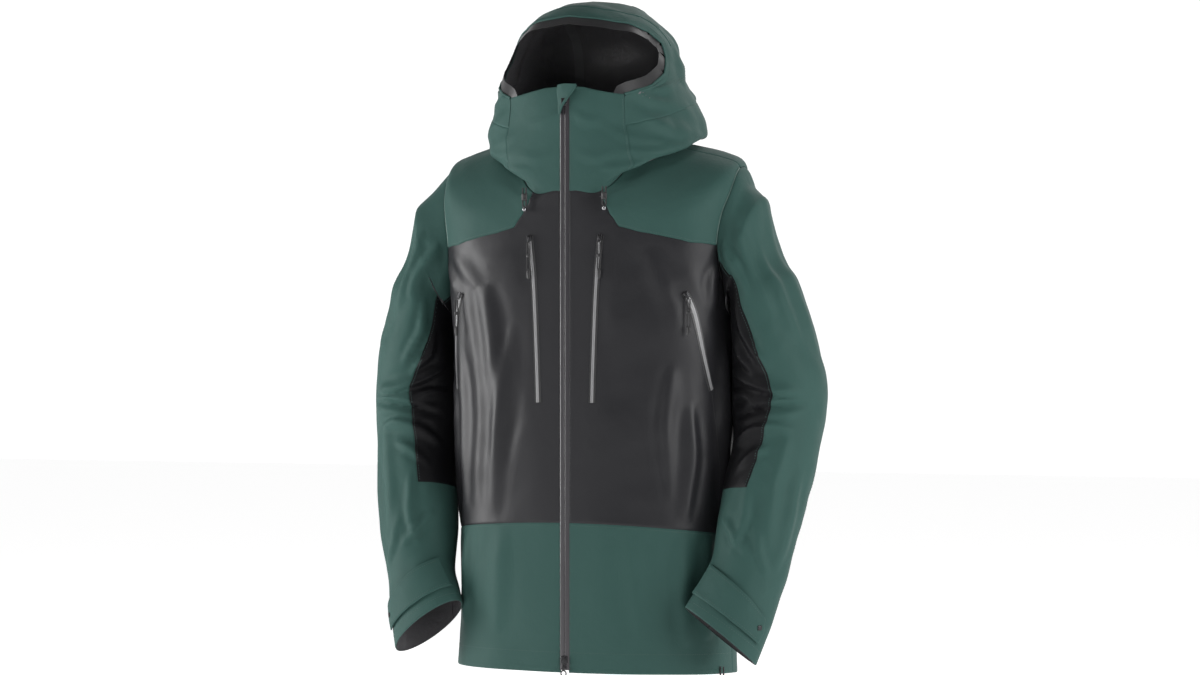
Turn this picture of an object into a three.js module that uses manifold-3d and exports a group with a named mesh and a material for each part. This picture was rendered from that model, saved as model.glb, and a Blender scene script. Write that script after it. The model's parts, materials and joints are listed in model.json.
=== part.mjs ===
// A hooded three-layer hardshell jacket with its front zip closed, shaped as if worn.
// Millimetres, +Z up. The front faces -Y and the wearer's left is +X. The origin is the hanger loop at the back neck.
//
// Every cloth panel is a patch of one of four smooth surfaces: the torso, the hood, and a sleeve on each side.
// A surface maps (around, along) to a point, and a patch is bounded by four seam lines in those coordinates.
import * as THREE from "three";
import { mergeVertices } from "three/addons/utils/BufferGeometryUtils.js";
import Module from "manifold-3d";

// ---------- Driving dimensions ----------
const CLOTH = 2.4; // thickness of a panel
const SEAM = 0.8; // how far a panel stops short of its seam line
const FRONT_Y = -140; // plane of the centre front, where the main zip lies
const LOOP = { y: 61, z: 0 }; // centre of the hanger loop, which becomes the origin
const RIGHT = -1; // the wearer's right
const LEFT = 1; // the wearer's left

// Torso rings from hem to neck: front and side heights, back point, half width, squareness of the outline.
const TORSO = [
  { frontZ: -769, sideZ: -775, backY: 126, backZ: -788, half: 213, square: 2.4 }, // hem
  { frontZ: -551, sideZ: -570, backY: 130, backZ: -566, half: 203, square: 2.6 }, // top of the hem band
  { frontZ: -390, sideZ: -392, backY: 134, backZ: -385, half: 206, square: 2.8 },
  { frontZ: -262, sideZ: -236, backY: 134, backZ: -225, half: 215, square: 3.0 }, // armpit
  { frontZ: -190, sideZ: -150, backY: 131, backZ: -140, half: 221, square: 3.0 },
  { frontZ: -150, sideZ: -80, backY: 124, backZ: -85, half: 228, square: 2.9 },
  { frontZ: -124, sideZ: -33, backY: 112, backZ: -48, half: 228, square: 2.7 }, // shoulder point
  { frontZ: -104, sideZ: -17, backY: 100, backZ: -25, half: 203, square: 2.6 },
  { frontZ: -90, sideZ: -5, backY: 88, backZ: -10, half: 160, square: 2.6 },
  { frontZ: -78, sideZ: 4, backY: 78, backZ: -2, half: 120, square: 2.8 },
  { frontZ: -68, sideZ: 12, backY: 70, backZ: 6, half: 90, square: 3.0 }, // neck seam
];
const HEM_SEAM = 1;
const ARMPIT = 3;
const SHOULDER = 6;
const NECK = 10;

// Hood rings from the neck seam to the crown. The first rings spread over the shoulders, and the last is a point.
const HOOD = [
  { frontY: -140, frontZ: -66, sideZ: 16, backY: 72, backZ: 10, half: 92, square: 3.0 }, // neck seam
  { frontY: -140, frontZ: -46, sideZ: 9, backY: 124, backZ: 14, half: 158, square: 2.4 }, // fold on the shoulders
  { frontY: -140, frontZ: -22, sideZ: 28, backY: 138, backZ: 40, half: 163, square: 2.4 },
  { frontY: -140, frontZ: 20, sideZ: 62, backY: 146, backZ: 84, half: 149, square: 2.4 },
  { frontY: -140, frontZ: 66, sideZ: 98, backY: 150, backZ: 120, half: 134, square: 2.4 },
  { frontY: -134, frontZ: 110, sideZ: 132, backY: 150, backZ: 152, half: 126, square: 2.3 },
  { frontY: -124, frontZ: 150, sideZ: 162, backY: 141, backZ: 180, half: 115, square: 2.2 },
  { frontY: -108, frontZ: 182, sideZ: 190, backY: 118, backZ: 203, half: 93, square: 2.1 },
  { frontY: -80, frontZ: 205, sideZ: 209, backY: 88, backZ: 217, half: 65, square: 2.0 },
  { frontY: -42, frontZ: 216, sideZ: 220, backY: 50, backZ: 223, half: 36, square: 2.0 },
  { frontY: 4, frontZ: 224, sideZ: 224, backY: 4, backZ: 224, half: 0, square: 2.0 }, // crown
];
const HOOD_TILT_RING = 3; // above this ring the hood tips back
const CROWN = 10;
// Where the hood's front edge starts, as [ring, share of the half turn from the front].
// First the chin seam, then the face opening, and last the closed crown.
const HOOD_EDGE = [
  [0, 0.23], [1, 0.2], [2, 0.19], [3, 0.2], [4, 0.22], [4.15, 0.33], [4.5, 0.41], [5.2, 0.45],
  [5.9, 0.45], [6.5, 0.4], [6.9, 0.3], [7.2, 0.15], [7.4, 0],
];
const BROW = 7.4; // ring where the hood closes over the face opening
const HOOD_STRIP = 68; // half width of the centre panel
const BRIM_PLANE = { y: -66, z: 212, normal: [0, 0.51, 0.86] }; // the brim lies in front of this plane
const BRIM_FOOT = 136; // height of the brim's lower ends

// Sleeve rings from the armhole to the cuff, for the wearer's left: centre, half width, half depth,
// turn of the width axis about Z in degrees, and how steeply the ring rises outwards and forwards.
const SLEEVE = [
  { x: 223, y: 0, z: -134, out: 5, fore: 78, yaw: 0, riseOut: 20, riseFore: 0 }, // stands in for the armhole
  { x: 250, y: -6, z: -164, out: 30, fore: 79, yaw: 0, riseOut: 3, riseFore: 0 },
  { x: 274, y: -8, z: -240, out: 49, fore: 79, yaw: 0, riseOut: 0.8, riseFore: 0 },
  { x: 286, y: -8, z: -302, out: 61, fore: 78, yaw: 0, riseOut: 0.3, riseFore: 0 },
  { x: 292, y: -4, z: -366, out: 69, fore: 74, yaw: 0, riseOut: 0.05, riseFore: 0.05 }, // elbow
  { x: 286, y: -18, z: -450, out: 64, fore: 65, yaw: 1, riseOut: -0.03, riseFore: 0.18 },
  { x: 269, y: -50, z: -545, out: 60, fore: 55, yaw: 2, riseOut: -0.1, riseFore: 0.28 },
  { x: 256, y: -74, z: -628, out: 54, fore: 45, yaw: 2, riseOut: -0.3, riseFore: 0.35 },
  { x: 228, y: -110, z: -711, out: 53, fore: 34, yaw: 0, riseOut: -0.72, riseFore: 0.45 }, // cuff edge
];
const ARMHOLE = { around: 0.5, along: 4.5, halfAround: 0.165, halfAlong: 1.5 };
const ARM_CUT = 1.5; // ring where the arm body starts
const ELBOW = 4;
const UNDER_END = 5.65; // ring where the dark underarm panel ends
const CUFF_END = 8;

// ---------- Smooth surfaces ----------
const mix = (a, b, t) => a + (b - a) * t;

// Catmull-Rom through the rows of a ring table: every field, at a fractional row.
function ringAt(rings, row) {
  const last = rings.length - 1;
  const i = Math.min(Math.max(Math.floor(row), 0), last - 1);
  const t = row - i;
  const [p, q, r, s] = [Math.max(i - 1, 0), i, i + 1, Math.min(i + 2, last)].map((k) => rings[k]);
  const ring = {};
  for (const key of Object.keys(q)) {
    const [a, b, c, d] = [p[key], q[key], r[key], s[key]];
    ring[key] = b + 0.5 * t * (c - a + t * (2 * a - 5 * b + 4 * c - d + t * (3 * (b - c) + d - a)));
  }
  return ring;
}

// A point on a closed ring. around runs from 0 at the centre front to 1 at the centre back, and is
// negative on the wearer's right.
function onRing(ring, around) {
  const [sin, cos] = [Math.sin(around * Math.PI), Math.cos(around * Math.PI)];
  const spread = (Math.abs(sin) ** ring.square + Math.abs(cos) ** ring.square) ** (-1 / ring.square);
  const back = -cos * spread;
  const frontY = ring.frontY ?? FRONT_Y;
  const [midY, midZ] = [(frontY + ring.backY) / 2, (ring.frontZ + ring.backZ) / 2];
  return new THREE.Vector3(
    ring.half * sin * spread,
    midY + ((ring.backY - frontY) / 2) * back,
    midZ + ((ring.backZ - ring.frontZ) / 2) * back + (ring.sideZ - midZ) * sin * sin,
  );
}

const torso = (around, along) => onRing(ringAt(TORSO, along), around);
const hood = (around, along) => onRing(ringAt(HOOD, along), around);

// The armhole seam on the torso. turn is 0 at the top, 0.5 at the front and 1 at the armpit.
function armhole(turn) {
  const angle = turn * Math.PI;
  return [
    ARMHOLE.around - ARMHOLE.halfAround * Math.sin(angle),
    ARMHOLE.along + ARMHOLE.halfAlong * Math.cos(angle),
  ];
}

// The left sleeve. turn is 0 on the outside of the arm, 0.5 at the front, 1 on the inside and -0.5 at the back.
function leftSleeve(turn, along) {
  const ring = ringAt(SLEEVE, Math.max(along, 1));
  const [yaw, angle] = [THREE.MathUtils.degToRad(ring.yaw), turn * Math.PI];
  const [out, fore] = [ring.out * Math.cos(angle), ring.fore * Math.sin(angle)];
  const point = new THREE.Vector3(
    ring.x + out * Math.cos(yaw) + fore * Math.sin(yaw),
    ring.y + out * Math.sin(yaw) - fore * Math.cos(yaw),
    ring.z + out * ring.riseOut + fore * ring.riseFore,
  );
  if (along >= 1) return point;
  const seam = torso(...armhole(turn));
  return seam.lerp(point, along);
}
// The sleeve on a side. A patch for the left goes through onSide first, so turn changes sign twice on the right.
const sleeve = (side) => (turn, along) => leftSleeve(turn * side, along).multiply(new THREE.Vector3(side, 1, 1));

// ---------- Panels ----------
// The normal of a surface. It points outwards, because around, along and outwards are right-handed on all of them.
function normalAt(surface, a, b) {
  const step = 1e-3;
  const across = surface(a + step, b).sub(surface(a - step, b));
  const up = surface(a, b + step).sub(surface(a, b - step));
  return across.cross(up).normalize();
}

// A polyline as a function of 0 to 1, with its corners spread evenly.
function polyline(points) {
  return (t) => {
    const i = Math.min(Math.floor(t * (points.length - 1)), points.length - 2);
    const k = t * (points.length - 1) - i;
    return [mix(points[i][0], points[i + 1][0], k), mix(points[i][1], points[i + 1][1], k)];
  };
}
const line = (from, to) => polyline([from, to]);

// A patch with four sides, in a surface's own coordinates.
// bottom and top run from the first side to the second side.
function patch(bottom, top, first, second) {
  const corner = [bottom(0), bottom(1), top(0), top(1)];
  return (s, t) =>
    [0, 1].map(
      (i) =>
        mix(bottom(s)[i], top(s)[i], t) +
        mix(first(t)[i], second(t)[i], s) -
        mix(mix(corner[0][i], corner[1][i], s), mix(corner[2][i], corner[3][i], s), t),
    );
}
const rectangle = (a0, a1, b0, b1) => (s, t) => [mix(a0, a1, s), mix(b0, b1, t)];

// Length of a curve, from a few chords.
function lengthOf(curve) {
  let total = 0;
  for (let i = 0; i < 6; i++) total += curve(i / 6).distanceTo(curve((i + 1) / 6));
  return total;
}

// Closes a grid of outer points and the grid under it into one solid. joined tells which rows
// meet themselves round the back, and so have no side walls.
function closedGrid(outer, inner, joined = () => false) {
  const rows = outer.length;
  const columns = outer[0].length;
  const corners = [...outer.flat(), ...inner.flat()];
  const faces = [];
  const under = rows * columns;
  const id = (j, i) => j * columns + i;
  const quad = (a, b, c, d) => faces.push(a, b, c, a, c, d);
  for (let j = 0; j + 1 < rows; j++) {
    for (let i = 0; i + 1 < columns; i++) {
      const [a, b, c, d] = [id(j, i), id(j, i + 1), id(j + 1, i + 1), id(j + 1, i)];
      quad(a, b, c, d);
      quad(under + d, under + c, under + b, under + a);
    }
    if (joined(j) && joined(j + 1)) continue;
    quad(id(j + 1, 0), under + id(j + 1, 0), under + id(j, 0), id(j, 0));
    const end = columns - 1;
    quad(id(j, end), under + id(j, end), under + id(j + 1, end), id(j + 1, end));
  }
  for (let i = 0; i + 1 < columns; i++) {
    quad(id(0, i), under + id(0, i), under + id(0, i + 1), id(0, i + 1));
    if (joined(rows - 1)) continue;
    const top = rows - 1;
    quad(id(top, i + 1), under + id(top, i + 1), under + id(top, i), id(top, i));
  }
  const geometry = new THREE.BufferGeometry();
  geometry.setAttribute("position", new THREE.Float32BufferAttribute(corners.flatMap((p) => p.toArray()), 3));
  geometry.setIndex(faces);
  return geometry;
}

// Turns a closed solid's faces outwards, if they face inwards.
function facingOut(geometry) {
  const { position } = geometry.attributes;
  const corner = (k) => new THREE.Vector3().fromBufferAttribute(position, geometry.index.getX(k));
  let volume = 0;
  for (let k = 0; k < geometry.index.count; k += 3) volume += corner(k).dot(corner(k + 1).cross(corner(k + 2)));
  if (volume < 0) geometry.index.array.reverse();
  return geometry;
}

// A cloth panel: the patch on the surface, raised by lift and CLOTH thick unless told otherwise.
// Its edges stop SEAM short of the patch's own.
function panel(surface, area, columns, rows, { lift = 0, thick = CLOTH, seam = SEAM } = {}) {
  const place = (s, t) => surface(...area(s, t));
  const grid = [[], []];
  for (let j = 0; j <= rows; j++) {
    const row = [[], []];
    for (let i = 0; i <= columns; i++) {
      const [s, t] = [i / columns, j / rows];
      const across = Math.min(seam / Math.max(lengthOf((k) => place(k, t)), 1), 0.3);
      const up = Math.min(seam / Math.max(lengthOf((k) => place(s, k)), 1), 0.3);
      const [a, b] = area(mix(across, 1 - across, s), mix(up, 1 - up, t));
      const point = surface(a, b);
      const normal = normalAt(surface, a, b);
      row[0].push(point.clone().addScaledVector(normal, lift));
      row[1].push(point.clone().addScaledVector(normal, lift - thick));
    }
    grid[0].push(row[0]);
    grid[1].push(row[1]);
  }
  return facingOut(closedGrid(grid[0], grid[1]));
}

// ---------- Joining and cutting ----------
const wasm = await Module();
wasm.setup();

function solidOf(geometry) {
  const bare = geometry.index ? geometry.toNonIndexed() : geometry.clone();
  for (const name of Object.keys(bare.attributes)) if (name !== "position") bare.deleteAttribute(name);
  const merged = mergeVertices(bare, 1e-3);
  return new wasm.Manifold(
    new wasm.Mesh({
      numProp: 3,
      vertProperties: merged.attributes.position.array,
      triVerts: new Uint32Array(merged.index.array),
    }),
  );
}

function geometryOf(solid) {
  const mesh = solid.getMesh();
  const geometry = new THREE.BufferGeometry();
  geometry.setAttribute("position", new THREE.BufferAttribute(mesh.vertProperties, 3));
  geometry.setIndex(new THREE.BufferAttribute(mesh.triVerts, 1));
  return geometry;
}

const joined = (...parts) => geometryOf(parts.map(solidOf).reduce((all, next) => all.add(next)));
const cut = (part, ...tools) => geometryOf(tools.map(solidOf).reduce((left, tool) => left.subtract(tool), solidOf(part)));
const common = (part, tool) => geometryOf(solidOf(part).intersect(solidOf(tool)));

// A box from its low and high corners.
function box(x0, x1, y0, y1, z0, z1) {
  const geometry = new THREE.BoxGeometry(x1 - x0, y1 - y0, z1 - z0);
  return geometry.translate((x0 + x1) / 2, (y0 + y1) / 2, (z0 + z1) / 2);
}

// A flat outline in X and Z, extruded along Y from y0 to y1.
function plate(outline, y0, y1, holes = []) {
  const shape = new THREE.Shape(outline.map(([x, z]) => new THREE.Vector2(x, z)));
  shape.holes = holes;
  const geometry = new THREE.ExtrudeGeometry(shape, { depth: y1 - y0, bevelEnabled: false, curveSegments: 10 });
  return geometry.rotateX(Math.PI / 2).translate(0, y1, 0);
}

// ---------- Assembly ----------
const FABRIC = { roughness: 0.62, metalness: 0 };
const material = {
  green: new THREE.MeshStandardMaterial({ color: 0x2b4f48, ...FABRIC }),
  black: new THREE.MeshStandardMaterial({ color: 0x26262a, ...FABRIC }),
  lining: new THREE.MeshStandardMaterial({ color: 0x2f2f33, roughness: 0.75, metalness: 0 }),
  zip: new THREE.MeshStandardMaterial({ color: 0x3a383c, roughness: 0.35, metalness: 0 }),
  metal: new THREE.MeshStandardMaterial({ color: 0x2c2c2e, roughness: 0.3, metalness: 0.9 }),
  plastic: new THREE.MeshStandardMaterial({ color: 0x111113, roughness: 0.4, metalness: 0 }),
};

const jacket = new THREE.Group();
jacket.position.set(0, -LOOP.y, -LOOP.z);

function add(name, geometry, look, parent = jacket) {
  const mesh = new THREE.Mesh(geometry, look);
  mesh.name = name;
  parent.add(mesh);
  return mesh;
}
const sideName = (side) => (side === LEFT ? "left" : "right");
// A patch given for the wearer's left, taken over to a side.
const onSide = (area, side) => (s, t) => {
  const [a, b] = area(s, t);
  return [a * side, b];
};

// ---------- Torso panels ----------
const PLACKET = 6.8; // half width of the gap that the main zip fills
const SIDE_SEAM = 0.5;
const YOKE_START = armhole(0.545); // where the front yoke seam meets the armhole
const YOKE_SEAM = [[0.257, 4.56], [0.206, 4.91], [0.151, 5.36], [0.11, 5.87]]; // from there to its corner below the collar
const COLLAR_CORNER = [0.155, NECK];
const BACK_YOKE_START = armhole(-0.56);
// The ring on the zip's edge that faces each corner of the chest panel's outer edge.
const FACING_ROWS = [HEM_SEAM, 1.8, 2.6, 3.4, 3.8, 4.1, 4.4, 4.7, 5.0, 5.6, 6.1, 6.7, 7.3, NECK];

// The zip edge of the front, at a given ring.
const zipEdge = (rings, row) => Math.asin(PLACKET / ringAt(rings, row).half) / Math.PI;

// Part of the armhole seam between two turns.
const alongArmhole = (from, to) => (t) => armhole(mix(from, to, t));

function frontChest(side) {
  const seam = [
    ...[0, 0.34, 0.67, 1].map((t) => [SIDE_SEAM, mix(HEM_SEAM, ARMPIT, t)]),
    ...[0.9, 0.8, 0.7, 0.62].map(armhole),
    YOKE_START,
    ...YOKE_SEAM,
    COLLAR_CORNER,
  ];
  const zip = FACING_ROWS.map((row) => [zipEdge(TORSO, row), row]);
  const area = patch(
    line(zip[0], seam[0]),
    line(zip.at(-1), COLLAR_CORNER),
    polyline(zip),
    polyline(seam),
  );
  return panel(torso, onSide(area, side), 9, 12);
}

function frontYoke(side) {
  const area = patch(
    polyline([YOKE_START, ...YOKE_SEAM, COLLAR_CORNER]),
    line(armhole(0), [SIDE_SEAM, NECK]),
    alongArmhole(0.545, 0),
    line(COLLAR_CORNER, [SIDE_SEAM, NECK]),
  );
  return panel(torso, onSide(area, side), 4, 5, { seam: 2 * SEAM });
}

function backYoke() {
  const [edge, row] = BACK_YOKE_START;
  const area = patch(
    line([edge, row], [2 - edge, row]),
    line([SIDE_SEAM, NECK], [2 - SIDE_SEAM, NECK]),
    (t) => (t < 0.5 ? armhole(mix(-0.56, 0, t * 2)) : [SIDE_SEAM, mix(SHOULDER, NECK, t * 2 - 1)]),
    (t) => {
      const [a, b] = t < 0.5 ? armhole(mix(-0.56, 0, t * 2)) : [SIDE_SEAM, mix(SHOULDER, NECK, t * 2 - 1)];
      return [2 - a, b];
    },
  );
  return panel(torso, area, 14, 6);
}

function backPanel() {
  const edge = (t) => (t < 0.6 ? [SIDE_SEAM, mix(HEM_SEAM, ARMPIT, t / 0.6)] : armhole(mix(-1, -0.56, (t - 0.6) / 0.4)));
  const mirrored = (t) => {
    const [a, b] = edge(t);
    return [2 - a, b];
  };
  const area = patch(line(edge(0), mirrored(0)), line(edge(1), mirrored(1)), edge, mirrored);
  return panel(torso, area, 14, 7);
}

function frontHem(side) {
  const zip = (t) => {
    const row = mix(0, HEM_SEAM, t);
    return [zipEdge(TORSO, row), row];
  };
  const area = patch(
    line(zip(0), [SIDE_SEAM, 0]),
    line(zip(1), [SIDE_SEAM, HEM_SEAM]),
    zip,
    line([SIDE_SEAM, 0], [SIDE_SEAM, HEM_SEAM]),
  );
  return panel(torso, onSide(area, side), 9, 2);
}

// ---------- Collar and hood ----------
const COLLAR_TOP = [[0.0, 4.42], [0.07, 4.38], [0.14, 4.2], [0.22, 4.0]];

function hoodEdge(row) {
  const i = Math.max(HOOD_EDGE.findIndex(([r]) => r >= row), 1);
  if (row >= BROW) return 0;
  const [[r0, a0], [r1, a1]] = [HOOD_EDGE[i - 1], HOOD_EDGE[i]];
  return mix(a0, a1, (row - r0) / (r1 - r0));
}

function chinGuard(side) {
  const seam = (t) => [hoodEdge(4 * t), 4 * t];
  const zip = (t) => {
    const row = 4.38 * t;
    return [zipEdge(HOOD, row), row];
  };
  const area = patch(line(zip(0), seam(0)), polyline([zip(1), ...COLLAR_TOP.slice(1)]), zip, seam);
  return panel(hood, onSide(area, side), 6, 8, { seam: 4 * SEAM });
}

// The whole hood from one ring up, open at the face.
function hoodShell(rows, columns, lift = 0) {
  const [outer, inner] = [[], []];
  for (const row of rows) {
    const start = hoodEdge(row) + (row < BROW ? SEAM / 120 : 0);
    const points = [[], []];
    for (let i = 0; i <= columns; i++) {
      const around = mix(start, 2 - start, i / columns);
      const point = hood(around, row);
      const normal = row === CROWN ? new THREE.Vector3(0, 0, 1) : normalAt(hood, around, row);
      points[0].push(point.clone().addScaledVector(normal, lift));
      points[1].push(point.clone().addScaledVector(normal, lift - CLOTH));
    }
    outer.push(points[0]);
    inner.push(points[1]);
  }
  return closedGrid(outer, inner, (j) => rows[j] >= BROW);
}

// A block that fills everything on one side of a plane, moved along its normal by shift.
function halfSpace({ y, z, normal }, shift, facing) {
  const size = 900;
  const direction = new THREE.Vector3(...normal).normalize();
  const block = new THREE.BoxGeometry(size, size, size).translate(0, 0, size / 2);
  const turn = new THREE.Quaternion().setFromUnitVectors(new THREE.Vector3(0, 0, 1), direction.clone().multiplyScalar(facing));
  return block.applyQuaternion(turn).translate(0, y + direction.y * shift, z + direction.z * shift);
}

// The hood: a base round the neck, and above it a brim, a centre panel and two sides, which tip back together.
function buildHood() {
  add("hood_base", hoodShell([0.03, 0.5, 1, 1.5, 2, 2.5, HOOD_TILT_RING - 0.02], 24), material.green);

  const rows = [HOOD_TILT_RING + 0.02, 3.5, 4, 4.15, 4.5, 5.2, 5.9, 6.5, 6.9, 7.2, BROW, 8, 8.6, 9.3, CROWN];
  const shell = hoodShell(rows, 24);
  const gap = 2 * SEAM;
  const aboveFace = box(-400, 400, -400, 80, BRIM_FOOT, 400);
  const brimBlock = common(halfSpace(BRIM_PLANE, 0, -1), aboveFace);
  const keptClear = common(halfSpace(BRIM_PLANE, gap, -1), box(-400, 400, -400, 80, BRIM_FOOT - gap, 400));
  const rest = cut(shell, keptClear);
  add("hood_brim", common(shell, brimBlock), material.green);
  add("hood_centre", common(rest, box(-HOOD_STRIP, HOOD_STRIP, -400, 400, -400, 400)), material.green);
  add("hood_side_right", common(rest, box(-400, -HOOD_STRIP - gap, -400, 400, -400, 400)), material.green);
  add("hood_side_left", common(rest, box(HOOD_STRIP + gap, 400, -400, 400, -400, 400)), material.green);
}

// ---------- Sleeves ----------
// Seams along the sleeve, as [ring, turn]: the dark underarm panel runs from the front seam round to the back seam.
const FRONT_SEAM = [[0, 0.62], [1.5, 0.56], [2.5, 0.5], [4, 0.45], [5, 0.52], [UNDER_END, 0.56]];
const BACK_SEAM = 1.32;
const ELBOW_NOTCH = { from: 0.35, depth: 0.5 }; // room in front of the elbow's axis for the forearm to bend
const UPPER_FULL = 2;

function frontSeam(row) {
  const i = Math.min(Math.max(FRONT_SEAM.findIndex(([r]) => r >= row), 1), FRONT_SEAM.length - 1);
  const [[r0, a0], [r1, a1]] = [FRONT_SEAM[i - 1], FRONT_SEAM[i]];
  return mix(a0, a1, Math.min((row - r0) / (r1 - r0), 1));
}
const backSeam = () => BACK_SEAM;
const backSeamBefore = () => BACK_SEAM - UPPER_FULL;

// The forearm's upper edge dips at the front, so that it clears the upper arm when it bends.
const forearmEdge = (turn) => {
  const forward = Math.max(Math.sin(turn * Math.PI) - ELBOW_NOTCH.from, 0) / (1 - ELBOW_NOTCH.from);
  return ELBOW + 0.02 + ELBOW_NOTCH.depth * forward;
};
const level = (row) => () => row;

// A sleeve patch between two lengthwise seams and two rings. Each seam gives a turn for a row, and
// each ring gives a row for a turn.
function sleevePatch(seamA, seamB, ringA, ringB) {
  return (s, t) => {
    let row = mix(ringA(0), ringB(0), t);
    let turn = 0;
    for (let pass = 0; pass < 4; pass++) {
      turn = mix(seamA(row), seamB(row), s);
      row = mix(ringA(turn), ringB(turn), t);
    }
    return [turn, row];
  };
}

function buildSleeve(side) {
  const surface = sleeve(side);
  const name = sideName(side);
  const place = (area) => onSide(area, side);
  const upper = { seam: 2 * SEAM };
  const body = (area, columns, rows, options) => panel(surface, place(area), columns, rows, options);
  const [top, elbow, underEnd, cuff] = [0, ELBOW, UNDER_END, CUFF_END].map(level);
  add(`sleeve_upper_${name}`, body(sleevePatch(backSeamBefore, frontSeam, top, elbow), 10, 6, upper), material.green);
  add(`sleeve_under_${name}`, body(sleevePatch(frontSeam, backSeam, top, elbow), 8, 6, upper), material.black);
  const outside = body(sleevePatch(backSeamBefore, frontSeam, forearmEdge, level(UNDER_END + 0.03)), 10, 3);
  const wrist = body(sleevePatch(backSeamBefore, backSeam, underEnd, cuff), 20, 6);
  add(`forearm_${name}`, joined(outside, wrist), material.green);
  add(`forearm_under_${name}`, body(sleevePatch(frontSeam, backSeam, forearmEdge, underEnd), 8, 3), material.black);
  const tab = sleevePatch(level(CUFF_TAB.from), level(CUFF_TAB.to), level(CUFF_TAB.top), level(CUFF_TAB.bottom));
  add(`cuff_tab_${name}`, body(tab, 8, 3, { lift: CUFF_TAB.lift, thick: CUFF_TAB.thick }), material.green);
}

// ---------- Zips ----------
const MAIN_ZIP = { inner: 1.6, outer: 5.9, bottom: -765, top: 76, front: 0.9, back: 1.3 };
const GARAGE = { outline: [[-20, 52], [-8, 42], [-3, 51], [17, 76], [29, 93], [-18, 93]], near: 4.4, far: 6.6 };
const SLIDER = { half: 4.6, tall: 11, neck: 0.9, far: 3.7, near: 1.5 };
const BOTTOM_SLIDER_Z = -750;
const TOP_SLIDER_Z = 62;

function mainTape(side) {
  const [x0, x1] = side === LEFT ? [MAIN_ZIP.inner, MAIN_ZIP.outer] : [-MAIN_ZIP.outer, -MAIN_ZIP.inner];
  return box(x0, x1, FRONT_Y - MAIN_ZIP.front, FRONT_Y + MAIN_ZIP.back, MAIN_ZIP.bottom, MAIN_ZIP.top);
}

// A slider with a plate on each side of the tapes, joined by a neck between them, and a bail on the front.
function mainSlider(z) {
  const { half, tall, neck, far, near } = SLIDER;
  const front = box(-half, half, FRONT_Y - far, FRONT_Y - near, z - tall / 2, z + tall / 2);
  const back = box(-half, half, FRONT_Y + near + 0.4, FRONT_Y + far, z - tall / 2, z + tall / 2);
  return joined(front, back, box(-neck, neck, FRONT_Y - near - 1, FRONT_Y + near + 1, z - tall / 2, z + tall / 2));
}

// A flat bar with an eye at its lower end.
function mainPull() {
  const top = BOTTOM_SLIDER_Z - SLIDER.tall / 2 - 1;
  const shape = new THREE.Shape();
  shape.moveTo(-2.2, top);
  shape.lineTo(2.2, top);
  shape.lineTo(2.8, top - PULL.bar);
  shape.absarc(0, top - PULL.bar - PULL.eye, PULL.eye, Math.PI / 4, (3 * Math.PI) / 4, true);
  shape.lineTo(-2.8, top - PULL.bar);
  const hole = new THREE.Path().absarc(0, top - PULL.bar - PULL.eye, PULL.eye - 2, 0, 2 * Math.PI);
  shape.holes.push(hole);
  const thick = 1.8;
  const geometry = new THREE.ExtrudeGeometry(shape, { depth: thick, bevelEnabled: false, curveSegments: 16 });
  return geometry.rotateX(Math.PI / 2).translate(0, FRONT_Y - PULL.front, 0);
}

// A frame on a surface: X across, Y along the line from one point to another, Z outwards.
function frameOn(surface, from, to, share, lift) {
  const [a, b] = [mix(from[0], to[0], share), mix(from[1], to[1], share)];
  const normal = normalAt(surface, a, b);
  const along = surface(...from).sub(surface(...to));
  along.addScaledVector(normal, -along.dot(normal)).normalize();
  const frame = new THREE.Matrix4().makeBasis(along.clone().cross(normal), along, normal);
  return frame.setPosition(surface(a, b).addScaledVector(normal, lift));
}

// A pocket: a zip laid on the outside, its slider at the top, a cord loop with a grip, and the bag inside.
function buildPocket(kind, side) {
  const { top, bottom, bag, columns } = POCKET[kind];
  const name = sideName(side);
  const [from, to] = [top, bottom].map(([a, b]) => [a * side, b]);
  const width = POCKET.width / 2 / (Math.PI * 215);
  const strip = patch(
    line([bottom[0] - width, bottom[1]], [bottom[0] + width, bottom[1]]),
    line([top[0] - width, top[1]], [top[0] + width, top[1]]),
    line([bottom[0] - width, bottom[1]], [top[0] - width, top[1]]),
    line([bottom[0] + width, bottom[1]], [top[0] + width, top[1]]),
  );
  const onTop = { lift: POCKET.tapeLift + POCKET.tape, thick: POCKET.tape, seam: 0 };
  add(`${kind}_zip_${name}`, panel(torso, onSide(strip, side), 2, columns, onTop), material.zip);
  const sliderLift = POCKET.tapeLift + POCKET.tape + POCKET[kind].sliderGap;
  const slider = new THREE.BoxGeometry(7, 10, 2.4).translate(0, 0, 1.2);
  const frame = frameOn(torso, from, to, 0.03, sliderLift);
  add(`${kind}_slider_${name}`, slider.applyMatrix4(frame), material.metal);
  const eye = new THREE.Vector3(0, -6.8, 3.4).applyMatrix4(frame);
  add(`${kind}_pull_cord_${name}`, cordLoop(eye, POCKET.drop, POCKET.spread, POCKET.cord), material.plastic);
  const grip = new THREE.BoxGeometry(5.4, 3.4, POCKET.grip);
  grip.translate(eye.x, eye.y, eye.z - POCKET.drop - POCKET.cord / 2 - 0.4 - POCKET.grip / 2);
  add(`${kind}_pull_grip_${name}`, grip, material.plastic);
  const inside = { lift: -CLOTH - POCKET[kind].depth, thick: 1.2 };
  const bagPatch = rectangle(bag[0], bag[1], bag[2], bag[3]);
  add(`${kind}_pocket_bag_${name}`, panel(torso, onSide(bagPatch, side), 6, 6, inside), material.lining);
}

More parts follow.
